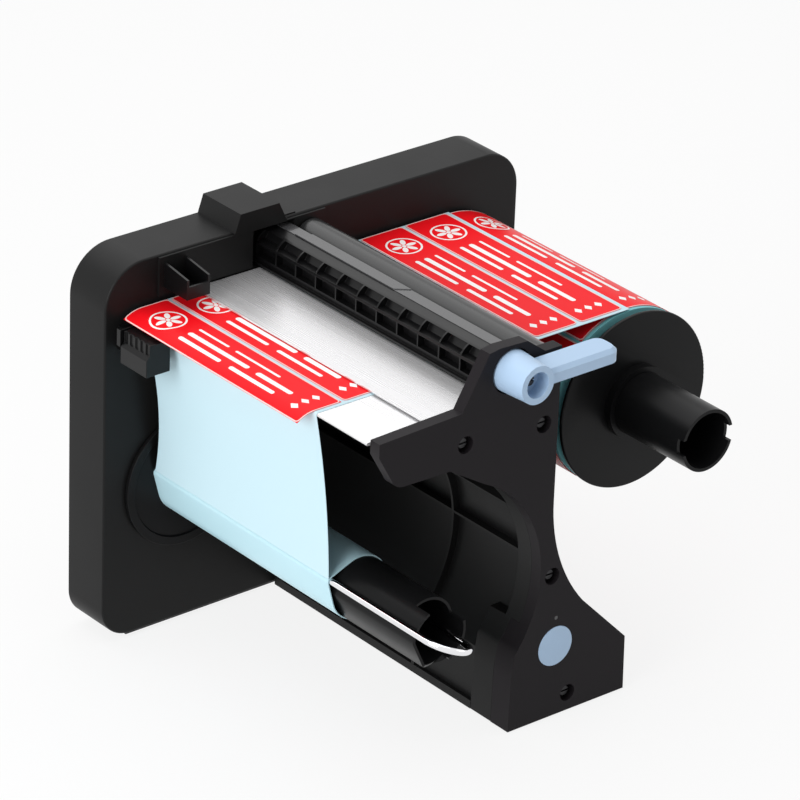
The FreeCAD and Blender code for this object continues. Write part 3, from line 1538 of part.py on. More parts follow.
def feed_button():
    """The round blue button with its stem."""
    near = front - button_proud
    cap = rod(button_x, button_z, button_r, near, near + button_t)
    rims = [e for e in cap.Edges if e.Closed and abs(e.Vertexes[0].Y - near) < seat_gap]
    cap = cap.makeFillet(button_proud, rims)
    stem_end = foot_cover_back - switch_body_t - button_travel - piece_gap
    return cap.fuse(rod(button_x, button_z, button_stem_r, near + button_t / 2, stem_end))


def button_switch():
    """The small switch behind the button, on the side plate's foot."""
    half = switch_body_w / 2
    far = foot_back - cover_wall
    body = block(button_x - half, button_x + half, foot_cover_back - switch_body_t, far,
                 button_z - half, button_z + half)
    return body


def indicator_light():
    """The clear light pipe in the cover's small hole."""
    return rod(indicator_x, indicator_z, indicator_r, front, cover_back)


# Every piece, by its node name

pieces = {
    "housing_shell": housing_shell,
    "rear_cover": rear_cover,
    "rear_cover_screws": rear_cover_screws,
    "housing_foot": housing_foot,
    "front_foot_pads": front_foot_pads,
    "mechanism_frame": mechanism_frame,
    "side_plate": side_plate,
    "front_cover": front_cover,
    "front_cover_screws": front_cover_screws,
    "peel_plate": peel_plate,
    "cover_plate": cover_plate,
    "edge_guide": edge_guide,
    "sensor_block": sensor_block,
    "sensor_bracket": sensor_bracket,
    "sensor_eye": sensor_eye,
    "web_top": web_top,
    "liner_drop": liner_drop,
    "web_labels": web_labels,
    "leading_label": leading_label,
    "drive_roller": drive_roller,
    "drive_shaft": drive_shaft,
    "guide_roller": guide_roller,
    "guide_axle": guide_axle,
    "pinch_roller": pinch_roller,
    "pressure_bar": pressure_bar,
    "bar_strip": bar_strip,
    "bar_hinge_pin": bar_hinge_pin,
    "bar_springs": bar_springs,
    "lever": lever,
    "lever_screw": lever_screw,
    "lever_shaft": lever_shaft,
    "supply_axle": supply_axle,
    "supply_axle_nut": supply_axle_nut,
    "supply_axle_clip": supply_axle_clip,
    "supply_hub": supply_hub,
    "supply_flange": supply_flange,
    "roll_core": roll_core,
    "label_roll": label_roll,
    "roll_labels": roll_labels,
    "take_up_flange": take_up_flange,
    "take_up_drum": take_up_drum,
    "take_up_shaft": take_up_shaft,
    "waste_liner_roll": waste_liner_roll,
    "wire_clip": wire_clip,
    "motor_body": motor_body,
    "motor_screws": motor_screws,
    "motor_pulley": motor_pulley,
    "drive_pulley": lambda: pulley(nip_x, drive_z, drive_pulley_r, drive_shaft_r, drive_belt_y),
    "take_up_pulley": lambda: pulley(take_up_x, take_up_z, take_up_pulley_r, take_up_shaft_r,
                                     take_up_belt_y),
    "drive_belt": lambda: belt(motor_x, motor_z, motor_pulley_r, nip_x, drive_z, drive_pulley_r,
                               drive_belt_y),
    "take_up_belt": lambda: belt(motor_x, motor_z, motor_pulley_r, take_up_x, take_up_z,
                                 take_up_pulley_r, take_up_belt_y),
    "shaft_bushes": shaft_bushes,
    "control_board": control_board,
    "power_inlet": power_inlet,
    "switch_frame": switch_frame,
    "switch_rocker": switch_rocker,
    "feed_button": feed_button,
    "button_switch": button_switch,
    "indicator_light": indicator_light,
}

os.makedirs("parts", exist_ok=True)
to_origin = vec(-housing_w / 2, (clip_reach - housing_t) / 2, 0)
for name, make in pieces.items():
    shape = make()
    shape.translate(to_origin)
    print(name, "solids", len(shape.Solids), "volume", round(shape.Volume), "valid", shape.isValid())
    shape.exportStep("parts/" + name + ".step")
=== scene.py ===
"""A bench-top label dispenser, dressed for a product picture.

The fixed frame gives every part's shape and place. This script rounds the parts' edges, gives each its
finish, prints the labels with a plain design, and sets up the floor, the lamps and the camera.
Lengths are metres; X runs along the housing, -Y points at the user and Z is up.
"""

import json
import logging
import math
from collections.abc import Callable
from dataclasses import dataclass, field
from enum import Enum

import bmesh
import bpy
from mathutils import Matrix, Vector
from mathutils.bvhtree import BVHTree


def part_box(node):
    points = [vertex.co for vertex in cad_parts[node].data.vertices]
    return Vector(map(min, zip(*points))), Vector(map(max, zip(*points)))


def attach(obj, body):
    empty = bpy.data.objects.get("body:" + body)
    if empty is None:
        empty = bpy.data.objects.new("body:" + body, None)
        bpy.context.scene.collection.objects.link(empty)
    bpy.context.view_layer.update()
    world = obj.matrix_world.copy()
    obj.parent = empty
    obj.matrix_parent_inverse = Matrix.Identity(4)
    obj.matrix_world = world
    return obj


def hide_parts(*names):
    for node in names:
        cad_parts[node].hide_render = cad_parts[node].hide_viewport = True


LOG = logging.getLogger("label_dispenser")
MM = 0.001

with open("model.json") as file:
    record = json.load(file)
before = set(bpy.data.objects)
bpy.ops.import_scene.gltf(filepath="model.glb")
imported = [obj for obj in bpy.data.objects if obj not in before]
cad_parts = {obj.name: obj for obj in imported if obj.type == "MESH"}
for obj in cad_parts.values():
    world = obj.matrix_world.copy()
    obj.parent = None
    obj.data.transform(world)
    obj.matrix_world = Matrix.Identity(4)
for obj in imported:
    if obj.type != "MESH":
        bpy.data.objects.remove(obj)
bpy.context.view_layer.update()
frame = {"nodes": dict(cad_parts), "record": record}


# Finishes


class Grain(Enum):
    """How a surface is textured."""

    SMOOTH = "smooth"
    LEATHERY = "leathery"
    FINE = "fine"
    BRUSHED = "brushed"
    WOUND = "wound"

    @property
    def detail(self) -> float:
        """How many finer layers the texture has."""
        return 4.0 if self is Grain.LEATHERY else 2.0


@dataclass(frozen=True)
class Finish:
    """One surface finish: its colour, gloss and texture.

    Attributes:
        name: What the finish is called.
        colour: Linear red, green and blue.
        roughness: 0 for a mirror and 1 for chalk.
        metal: 1 for bare metal.
        grain: The kind of fine texture.
        grain_size: The texture's pitch in metres.
        grain_depth: How deep the texture is, in metres.
        spread: How far the roughness wanders either way.
        patch: The size of the patches in which it wanders, in grain sizes.
        coat: The strength of a clear coat.
        shine: The strength of its plain reflections, 0.5 for most plastics.
        stretch: The texture's stretch along X, Y and Z.
    """

    name: str
    colour: tuple[float, float, float]
    roughness: float = 0.5
    metal: float = 0.0
    grain: Grain = Grain.SMOOTH
    grain_size: float = 0.4 * MM
    grain_depth: float = 0.01 * MM
    spread: float = 0.0
    patch: float = 60.0
    coat: float = 0.0
    shine: float = 0.5
    stretch: tuple[float, float, float] = (1.0, 1.0, 1.0)

    def make(self) -> bpy.types.Material:
        """Makes the material, or finds it if it is made already.

        Returns:
            The finished material.
        """
        label = f"{self.name}_finish"
        known = bpy.data.materials.get(label)
        if known is not None:
            return known
        material = bpy.data.materials.new(label)
        material.use_nodes = True
        shader = material.node_tree.nodes["Principled BSDF"]
        shader.inputs["Base Color"].default_value = (*self.colour, 1.0)
        shader.inputs["Roughness"].default_value = self.roughness
        shader.inputs["Metallic"].default_value = self.metal
        shader.inputs["Coat Weight"].default_value = self.coat
        shader.inputs["Specular IOR Level"].default_value = self.shine
        if self.grain is not Grain.SMOOTH:
            self._texture(material.node_tree, shader)
        return material

    def _texture(self, tree: bpy.types.NodeTree, shader: bpy.types.Node) -> None:
        """Adds the fine texture to the shader.

        Args:
            tree: The material's node tree.
            shader: Its surface shader.
        """
        place = tree.nodes.new("ShaderNodeTexCoord")
        mapping = tree.nodes.new("ShaderNodeMapping")
        mapping.inputs["Scale"].default_value = self.stretch
        tree.links.new(place.outputs["Object"], mapping.inputs["Vector"])
        noise = tree.nodes.new("ShaderNodeTexNoise")
        noise.inputs["Scale"].default_value = 1.0 / self.grain_size
        noise.inputs["Detail"].default_value = self.grain.detail
        tree.links.new(mapping.outputs["Vector"], noise.inputs["Vector"])
        bump = tree.nodes.new("ShaderNodeBump")
        bump.inputs["Distance"].default_value = self.grain_depth
        bump.inputs["Strength"].default_value = 1.0
        tree.links.new(noise.outputs["Fac"], bump.inputs["Height"])
        tree.links.new(bump.outputs["Normal"], shader.inputs["Normal"])
        if self.spread > 0.0:
            wander = tree.nodes.new("ShaderNodeTexNoise")
            wander.inputs["Scale"].default_value = 1.0 / (self.patch * self.grain_size)
            tree.links.new(mapping.outputs["Vector"], wander.inputs["Vector"])
            spread = tree.nodes.new("ShaderNodeMapRange")
            spread.inputs["To Min"].default_value = self.roughness - self.spread
            spread.inputs["To Max"].default_value = self.roughness + self.spread
            tree.links.new(wander.outputs["Fac"], spread.inputs["Value"])
            tree.links.new(spread.outputs["Result"], shader.inputs["Roughness"])


CASE_BLACK = Finish("case_black", (0.008, 0.008, 0.0081), 0.44, grain=Grain.LEATHERY, grain_size=0.5 * MM,
                    grain_depth=0.012 * MM, spread=0.05, shine=0.15)
FRONT_BLACK = Finish("front_black", (0.014, 0.0122, 0.014), 0.4, grain=Grain.FINE, grain_size=0.35 * MM,
                     grain_depth=0.006 * MM, spread=0.05, shine=0.08)
RIBBED_BLACK = Finish("ribbed_black", (0.004, 0.004, 0.0043), 0.3, grain=Grain.FINE, grain_size=0.4 * MM,
                      grain_depth=0.006 * MM, spread=0.04, shine=0.24)
GLOSS_BLACK = Finish("gloss_black", (0.02, 0.021, 0.022), 0.16, coat=0.4)
STRIP_GREY = Finish("strip_grey", (0.06, 0.06, 0.063), 0.2, coat=0.5)
REEL_BLACK = Finish("reel_black", (0.006, 0.0061, 0.0065), 0.32, grain=Grain.FINE, grain_size=0.5 * MM,
                    grain_depth=0.006 * MM, spread=0.06, shine=0.12)
DARK_ROLLER = Finish("dark_roller", (0.016, 0.0165, 0.017), 0.24, grain=Grain.FINE, grain_size=0.6 * MM,
                     grain_depth=0.003 * MM, spread=0.05, shine=0.42)
SHEET_STEEL = Finish("sheet_steel", (0.78, 0.775, 0.785), 0.27, metal=0.6, grain=Grain.BRUSHED,
                     grain_size=0.3 * MM, grain_depth=0.0007 * MM, spread=0.05, stretch=(8.0, 0.12, 8.0))
SHAFT_STEEL = Finish("shaft_steel", (0.6, 0.6, 0.62), 0.3, metal=1.0, grain=Grain.BRUSHED,
                     grain_size=0.3 * MM, grain_depth=0.002 * MM, spread=0.05, stretch=(1.0, 8.0, 1.0))
WIRE_CHROME = Finish("wire_chrome", (0.82, 0.82, 0.84), 0.07, metal=1.0)
SCREW_BLACK = Finish("screw_black", (0.03, 0.03, 0.032), 0.35, metal=0.6)
CONTROL_BLUE = Finish("control_blue", (0.42, 0.575, 0.77), 0.36, grain=Grain.FINE, grain_size=0.5 * MM,
                      grain_depth=0.004 * MM, spread=0.04, shine=0.35)
LINER_BLUE = Finish("liner_blue", (0.55, 0.745, 0.82), 0.44, grain=Grain.FINE, grain_size=1.4 * MM,
                    grain_depth=0.01 * MM, spread=0.06, shine=0.35)
# The waste liner's own pale blue, tinted slightly towards teal as painted shade for the shade inside the
# wound roll.
WASTE_BLUE_AND_SHADE = Finish("waste_blue_and_shade", (0.5, 0.74, 0.82), 0.4, grain=Grain.WOUND, grain_size=0.5 * MM,
                    grain_depth=0.02 * MM, spread=0.05, stretch=(0.3, 6.0, 0.3))
# Painted shade: the supply roll's wound liner is the same pale blue paper as the flat liner. It is
# coloured a darker teal here to stand for the shade on the roll's sides.
ROLL_SHADED_BLUE = Finish("roll_painted_shade", (0.2, 0.54, 0.58), 0.5, grain=Grain.WOUND, grain_size=0.5 * MM,
                   grain_depth=0.02 * MM, spread=0.05, shine=0.3, stretch=(1.0, 0.1, 1.0))
LABEL_RED = Finish("label_red", (0.88, 0.006, 0.012), 0.36, grain=Grain.FINE, grain_size=0.9 * MM,
                   grain_depth=0.004 * MM, spread=0.04, shine=0.1)
PRINT_WHITE = Finish("print_white", (0.93, 0.9, 0.89), 0.4, shine=0.3)
PRINT_PINK = Finish("print_pink", (0.88, 0.6, 0.58), 0.4, shine=0.3)
CORE_CARD = Finish("core_card", (0.42, 0.29, 0.17), 0.8, grain=Grain.FINE, grain_size=0.8 * MM,
                   grain_depth=0.03 * MM)
SOFT_RUBBER = Finish("soft_rubber", (0.02, 0.02, 0.021), 0.7, grain=Grain.FINE, grain_size=0.6 * MM,
                     grain_depth=0.01 * MM)
BUSH_BRASS = Finish("bush_brass", (0.66, 0.46, 0.17), 0.3, metal=1.0)
MOTOR_GREY = Finish("motor_grey", (0.06, 0.06, 0.065), 0.4, metal=0.5)
PULLEY_METAL = Finish("pulley_metal", (0.7, 0.7, 0.72), 0.3, metal=1.0)
BOARD_GREEN = Finish("board_green", (0.015, 0.12, 0.05), 0.35, coat=0.2)
LAMP_SMOKED = Finish("lamp_smoked", (0.012, 0.012, 0.014), 0.15, coat=0.5)
EYE_DARK = Finish("eye_dark", (0.05, 0.008, 0.012), 0.12, coat=0.6)


# Shared ways of making a piece


def body_of(node: str) -> str:
    """Finds the moving body that a part belongs to.

    Args:
        node: The part's name.

    Returns:
        The body's name.
    """
    for body, nodes in frame["record"]["behaviour"]["bodies"].items():
        if node in nodes:
            return body
    raise ValueError(f"no body holds {node}")


def slot_of(node: str) -> str:
    """Finds the material slot that a part is listed with.

    Args:
        node: The part's name.

    Returns:
        The slot's name.
    """
    for part in frame["record"]["subparts"]:
        if part["node"] == node:
            return part["material_slot"]
    raise ValueError(f"no slot for {node}")


def paint(node: str, finish: Finish) -> None:
    """Gives a part of the frame its finish.

    Args:
        node: The part's name.
        finish: What it is finished with.
    """
    mesh = frame["nodes"][node].data
    mesh.materials.clear()
    mesh.materials.append(finish.make())
    LOG.info("painted %s with %s", node, finish.name)


def add_piece(bm: bmesh.types.BMesh, name: str, body: str, slot: str, finish: Finish) -> bpy.types.Object:
    """Turns a finished bmesh into a piece that rides on a body.

    Args:
        bm: The shape, in place. It is freed here.
        name: The piece's name.
        body: The body that it moves with.
        slot: The material slot that its finish stands for; not used.
        finish: What it is finished with.

    Returns:
        The new object.
    """
    mesh = bpy.data.meshes.new(name)
    bm.to_mesh(mesh)
    bm.free()
    mesh.materials.append(finish.make())
    piece = bpy.data.objects.new(name, mesh)
    bpy.context.collection.objects.link(piece)
    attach(piece, body)
    LOG.info("built %s on %s", name, body)
    return piece


@dataclass(frozen=True)
class EdgeRound:
    """How a part's sharp edges are rounded.

    Attributes:
        width: The round's size in metres.
        segments: The faces across it.
        angle_deg: Edges that turn more than this are rounded.
        flat_deg: Faces that turn less than this are made one.
        merge: Corners nearer than this are made one.
    """

    width: float = 0.4 * MM
    segments: int = 2
    angle_deg: float = 32.0
    flat_deg: float = 0.4
    merge: float = 0.002 * MM


def soften(node: str, finish: Finish, edge: EdgeRound = EdgeRound()) -> bpy.types.Object:
    """Replaces a part by its own shape with rounded edges.

    Args:
        node: The part's name.
        finish: What it is finished with.
        edge: How its edges are rounded.

    Returns:
        The piece that stands for the part.
    """
    bm = bmesh.new()
    bm.from_mesh(frame["nodes"][node].data)
    bmesh.ops.remove_doubles(bm, verts=bm.verts[:], dist=edge.merge)
    bmesh.ops.dissolve_degenerate(bm, edges=bm.edges[:], dist=edge.merge)
    bmesh.ops.dissolve_limit(bm, angle_limit=math.radians(edge.flat_deg), use_dissolve_boundaries=False,
                             verts=bm.verts[:], edges=bm.edges[:])
    limit = math.radians(edge.angle_deg)
    for face in bm.faces:
        face.smooth = True
    for line in bm.edges:
        line.smooth = len(line.link_faces) == 2 and line.calc_face_angle(0.0) < limit
    piece = add_piece(bm, f"{node}_finished", body_of(node), slot_of(node), finish)
    bevel = piece.modifiers.new("edge_round", "BEVEL")
    bevel.width = edge.width
    bevel.segments = edge.segments
    bevel.limit_method = "ANGLE"
    bevel.angle_limit = limit
    bevel.harden_normals = True
    bevel.use_clamp_overlap = True
    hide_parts(node)
    return piece


# Sub-assemblies


@dataclass
class Housing:
    """The upright housing with its rear cover, feet, inlet and switch.

    Attributes:
        edge: The round on the large parts' edges.
        fine: The round on the small parts' edges.
        large: The large parts and their finishes.
        small: The small parts and their finishes.
    """

    edge: EdgeRound = EdgeRound(0.5 * MM, 3)
    fine: EdgeRound = EdgeRound(0.15 * MM, 2)
    large: dict[str, Finish] = field(default_factory=lambda: {
        "housing_shell": CASE_BLACK, "rear_cover": CASE_BLACK})
    small: dict[str, Finish] = field(default_factory=lambda: {
        "rear_cover_screws": SCREW_BLACK, "power_inlet": GLOSS_BLACK, "switch_frame": GLOSS_BLACK,
        "switch_rocker": GLOSS_BLACK, "edge_guide": RIBBED_BLACK})

    def build(self) -> None:
        """Rounds and finishes the housing's parts."""
        for node, finish in self.large.items():
            soften(node, finish, self.edge)
        for node, finish in self.small.items():
            soften(node, finish, self.fine)
        paint("housing_foot", SOFT_RUBBER)
        paint("front_foot_pads", SOFT_RUBBER)


@dataclass
class FrontAndTable:
    """The arched front, the frame behind it and the two steel plates.

    Attributes:
        edge: The round on the front's edges.
        sheet_edge: The round on the plates' edges.
        fine: The round on the frame's and the small parts' edges.
    """

    edge: EdgeRound = EdgeRound(0.5 * MM, 3)
    sheet_edge: EdgeRound = EdgeRound(0.12 * MM, 2)
    fine: EdgeRound = EdgeRound(0.2 * MM, 2)

    def build(self) -> None:
        """Rounds and finishes the front's and the table's parts."""
        soften("front_cover", FRONT_BLACK, self.edge)
        soften("side_plate", CASE_BLACK, self.edge)
        soften("mechanism_frame", CASE_BLACK, self.fine)
        soften("peel_plate", SHEET_STEEL, self.sheet_edge)
        soften("cover_plate", SHEET_STEEL, self.sheet_edge)
        soften("front_cover_screws", SCREW_BLACK, self.fine)
        soften("feed_button", CONTROL_BLUE, self.fine)
        paint("button_switch", GLOSS_BLACK)
        paint("indicator_light", LAMP_SMOKED)


@dataclass
class Sensor:
    """The label sensor under the peel edge.

    Attributes:
        edge: The round on its edges.
    """

    edge: EdgeRound = EdgeRound(0.3 * MM, 2)

    def build(self) -> None:
        """Rounds and finishes the sensor's parts."""
        soften("sensor_block", RIBBED_BLACK, self.edge)
        soften("sensor_bracket", RIBBED_BLACK, self.edge)
        paint("sensor_eye", EYE_DARK)


@dataclass
class Nip:
    """The drive roller, the guide roller, the pressure bar and the lever.

    Attributes:
        bar_edge: The round on the pressure bar's edges.
        strip_edge: The round on its top strip's and the lever screw's edges.
        roller_edge: The round on the rollers' ends.
        lever_edge: The round on the lever's edges.
    """

    bar_edge: EdgeRound = EdgeRound(0.25 * MM, 2)
    strip_edge: EdgeRound = EdgeRound(0.12 * MM, 2)
    roller_edge: EdgeRound = EdgeRound(0.4 * MM, 2)
    lever_edge: EdgeRound = EdgeRound(0.8 * MM, 3)

    def build(self) -> None:
        """Rounds and finishes the nip's parts."""
        soften("pressure_bar", RIBBED_BLACK, self.bar_edge)
        soften("bar_strip", STRIP_GREY, self.strip_edge)
        soften("guide_roller", DARK_ROLLER, self.roller_edge)
        soften("drive_roller", SOFT_RUBBER, self.roller_edge)
        soften("pinch_roller", SOFT_RUBBER, self.roller_edge)
        soften("lever", CONTROL_BLUE, self.lever_edge)
        soften("lever_screw", SCREW_BLACK, self.strip_edge)
        for node in ("lever_shaft", "drive_shaft", "guide_axle", "bar_hinge_pin", "bar_springs"):
            paint(node, SHAFT_STEEL)


@dataclass
class Reels:
    """The supply reel with its label roll, and the take-up reel with its clip.

    Attributes:
        edge: The round on the hub's, the drum's and the flanges' edges.
        paper_edge: The round on the wound paper's, the core's and the wire's edges.
    """

    edge: EdgeRound = EdgeRound(0.35 * MM, 2)
    paper_edge: EdgeRound = EdgeRound(0.1 * MM, 1)

    def build(self) -> None:
        """Rounds and finishes both reels' parts."""
        soften("supply_hub", REEL_BLACK, self.edge)
        soften("supply_flange", REEL_BLACK, self.edge)
        soften("take_up_flange", REEL_BLACK, self.edge)
        soften("take_up_drum", REEL_BLACK, self.edge)
        soften("wire_clip", WIRE_CHROME, self.paper_edge)
        # The wound liner gets the darker blue with painted shade.
        soften("label_roll", ROLL_SHADED_BLUE, self.paper_edge)
        # The wound waste liner gets the liner's blue with a little painted shade.
        soften("waste_liner_roll", WASTE_BLUE_AND_SHADE, self.paper_edge)
        soften("roll_core", CORE_CARD, self.paper_edge)
        for node in ("supply_axle", "supply_axle_nut", "supply_axle_clip", "take_up_shaft"):
            paint(node, SHAFT_STEEL)


@dataclass
class Insides:
    """What the housing holds: motor, pulleys, belts, bushes and board.

    Attributes:
        parts: The inner parts and their finishes.
    """

    parts: dict[str, Finish] = field(default_factory=lambda: {
        "motor_body": MOTOR_GREY, "motor_screws": SCREW_BLACK, "motor_pulley": PULLEY_METAL,
        "drive_pulley": PULLEY_METAL, "take_up_pulley": PULLEY_METAL, "drive_belt": SOFT_RUBBER,
        "take_up_belt": SOFT_RUBBER, "shaft_bushes": BUSH_BRASS, "control_board": BOARD_GREEN})

    def build(self) -> None:
        """Finishes the inner parts."""
        for node, finish in self.parts.items():
            paint(node, finish)


# The labels and their print


class Motif(Enum):
    """The plain shapes that the labels are printed with."""

    BAR = "bar"
    DISC = "disc"
    RING = "ring"
    DIAMOND = "diamond"
    PETAL = "petal"

    @property
    def sides(self) -> int:
        """How many sides draw the shape's outline."""
        return {Motif.DIAMOND: 4, Motif.BAR: 16}.get(self, 28)


@dataclass(frozen=True)
class Mark:
    """One printed shape, placed on a label.

    Attributes:
        motif: Its shape.
        across: Its middle, from the label's leading edge.
        along: Its middle, from the label's far end.
        width: Its size across the label.
        length: Its size along the label.
        turn_deg: How far it is turned.
    """

    motif: Motif
    across: float
    along: float
    width: float
    length: float
    turn_deg: float = 0.0


@dataclass
class LabelPrint:
    """The print on one label: a pale border, a flower in a ring, stripes and diamonds.

    Attributes:
        label_w: The label's width, along the web.
        label_l: Its length, across the web.
        corner: Its corners' radius.
        corner_steps: The sides of each corner's round.
        border_w: The pale border's width.
        lift: The print's height over the label's node, which keeps the two apart.
        thickness: The print's own thickness.
        strip_pitch: The width of the strips that let a print bend.
        same_place: Points nearer to a strip's edge than this lie on it.
        ring_at: The flower's middle, from the label's far end.
        ring_d: The ring's outer diameter.
        ring_line_share: The ring's line width as a share of its diameter.
        petals: How many petals the flower has.
        petal_at: A petal's middle, from the flower's middle.
        petal_l: A petal's length.
        petal_w: A petal's width.
        eye_d: The diameter of the disc in the flower's middle.
        stripes: Each stripe's middle across and along the label, its width and its length.
        diamonds: How many diamonds there are.
        diamond_first: The first diamond's middle, from the leading edge.
        diamond_pitch: The distance from one diamond to the next.
        diamond_at: The diamonds' middle, from the label's far end.
        diamond_w: A diamond's width.
        diamond_l: A diamond's length.
    """

    label_w: float = 30.0 * MM
    label_l: float = 151.0 * MM
    corner: float = 2.5 * MM
    corner_steps: int = 6
    border_w: float = 0.75 * MM
    lift: float = 0.05 * MM
    thickness: float = 0.03 * MM
    strip_pitch: float = 2.0 * MM
    same_place: float = 0.0001 * MM
    ring_at: float = 21.0 * MM
    ring_d: float = 21.0 * MM
    ring_line_share: float = 0.055
    petals: int = 6
    petal_at: float = 4.9 * MM
    petal_l: float = 6.6 * MM
    petal_w: float = 3.2 * MM
    eye_d: float = 2.6 * MM
    stripes: tuple[tuple[float, float, float, float], ...] = (
        (8.0 * MM, 58.0 * MM, 2.6 * MM, 36.0 * MM),
        (8.0 * MM, 103.0 * MM, 2.6 * MM, 38.0 * MM),
        (14.6 * MM, 66.0 * MM, 3.4 * MM, 52.0 * MM),
        (14.6 * MM, 114.0 * MM, 3.4 * MM, 30.0 * MM),
        (21.6 * MM, 53.0 * MM, 1.8 * MM, 26.0 * MM),
        (21.6 * MM, 91.0 * MM, 1.8 * MM, 38.0 * MM),
    )
    diamonds: int = 3
    diamond_first: float = 8.0 * MM
    diamond_pitch: float = 7.1 * MM
    diamond_at: float = 139.5 * MM
    diamond_w: float = 4.6 * MM
    diamond_l: float = 6.4 * MM

    def marks(self) -> list[Mark]:
        """Lists the label's printed shapes.

        Returns:
            The marks, in the label's own measure.
        """
        middle = self.label_w / 2
        marks = [Mark(Motif.RING, middle, self.ring_at, self.ring_d, self.ring_d)]
        for i in range(self.petals):
            turn = 360.0 * i / self.petals
            across = middle + self.petal_at * math.cos(math.radians(turn))
            along = self.ring_at + self.petal_at * math.sin(math.radians(turn))
            marks.append(Mark(Motif.PETAL, across, along, self.petal_l, self.petal_w, turn))
        marks.append(Mark(Motif.DISC, middle, self.ring_at, self.eye_d, self.eye_d))
        marks.extend(Mark(Motif.BAR, *stripe) for stripe in self.stripes)
        for i in range(self.diamonds):
            across = self.diamond_first + i * self.diamond_pitch
            marks.append(Mark(Motif.DIAMOND, across, self.diamond_at, self.diamond_w, self.diamond_l))
        return marks

    def add_mark(self, bm: bmesh.types.BMesh, mark: Mark) -> None:
        """Adds one printed shape to a flat print.

        Args:
            bm: The print, lying in the XY plane: X across the label, -Y along it.
            mark: The shape to add.
        """
        made = bmesh.ops.create_circle(bm, cap_ends=True, radius=0.5, segments=mark.motif.sides)
        verts = made["verts"]
        if mark.motif is Motif.RING:
            face = verts[0].link_faces[0]
            bmesh.ops.inset_region(bm, faces=[face], thickness=self.ring_line_share, use_boundary=True,
                                   use_even_offset=True)
            bmesh.ops.delete(bm, geom=[face], context="FACES")
            verts = [v for v in bm.verts if not v.tag]
        if mark.motif is Motif.BAR:
            stretch = mark.length / mark.width - 1.0
            for vert in verts:
                vert.co.y += math.copysign(stretch / 2, vert.co.y)
            scale = Vector((mark.width, mark.width, 1.0))
        else:
            scale = Vector((mark.width, mark.length, 1.0))
        bmesh.ops.scale(bm, vec=scale, verts=verts)
        turn = Matrix.Rotation(-math.radians(mark.turn_deg), 3, "Z")
        bmesh.ops.rotate(bm, cent=(0, 0, 0), matrix=turn, verts=verts)
        bmesh.ops.translate(bm, vec=(mark.across, -mark.along, 0.0), verts=verts)
        for vert in verts:
            vert.tag = True

    def add_border(self, bm: bmesh.types.BMesh) -> None:
        """Adds the pale border as a flat rounded frame.

        Args:
            bm: The print to add it to.
        """
        made = bmesh.ops.create_grid(bm, x_segments=1, y_segments=1, size=0.5)
        verts = made["verts"]
        bmesh.ops.scale(bm, vec=(self.label_w, self.label_l, 1.0), verts=verts)
        bmesh.ops.translate(bm, vec=(self.label_w / 2, -self.label_l / 2, 0.0), verts=verts)
        bmesh.ops.bevel(bm, geom=verts, offset=self.corner, offset_type="OFFSET", affect="VERTICES",
                        segments=self.corner_steps, profile=0.5, material=-1, clamp_overlap=True)
        face = max(bm.faces, key=lambda f: f.calc_area())
        bmesh.ops.inset_region(bm, faces=[face], thickness=self.border_w, use_boundary=True,
                               use_even_offset=True)
        bmesh.ops.delete(bm, geom=[face], context="FACES")

    def finish(self, bm: bmesh.types.BMesh, place: Callable[[Vector], Vector]) -> None:
        """Cuts a flat print into strips, gives it thickness and lays it on its label.

        Args:
            bm: The flat print.
            place: Gives a point's place on the label from (across, along, height).
        """
        for vert in bm.verts:
            vert.tag = False
        steps = int(self.label_w / self.strip_pitch)
        for i in range(1, steps):
            geom = bm.verts[:] + bm.edges[:] + bm.faces[:]
            bmesh.ops.bisect_plane(bm, geom=geom, dist=self.same_place,
                                   plane_co=(i * self.strip_pitch, 0, 0), plane_no=(1, 0, 0))
        for face in bm.faces:
            if face.normal.z < 0:
                face.normal_flip()
        made = bmesh.ops.extrude_face_region(bm, geom=bm.faces[:])
        raised = [item for item in made["geom"] if isinstance(item, bmesh.types.BMVert)]
        bmesh.ops.translate(bm, vec=(0, 0, self.thickness), verts=raised)
        bmesh.ops.recalc_face_normals(bm, faces=bm.faces[:])
        for vert in bm.verts:
            vert.co = place(Vector((vert.co.x, -vert.co.y, vert.co.z + self.lift)))

    def lay(self, tag: str, body: str, place: Callable[[Vector], Vector]) -> None:
        """Prints one label.

        Args:
            tag: The label's name.
            body: The body that the label is on.
            place: Gives a point's place on the label.
        """
        print_bm = bmesh.new()
        for mark in self.marks():
            self.add_mark(print_bm, mark)
        self.finish(print_bm, place)
        add_piece(print_bm, f"{tag}_print", body, "label_red", PRINT_WHITE)
        border_bm = bmesh.new()
        self.add_border(border_bm)
        self.finish(border_bm, place)
        add_piece(border_bm, f"{tag}_border", body, "label_red", PRINT_PINK)


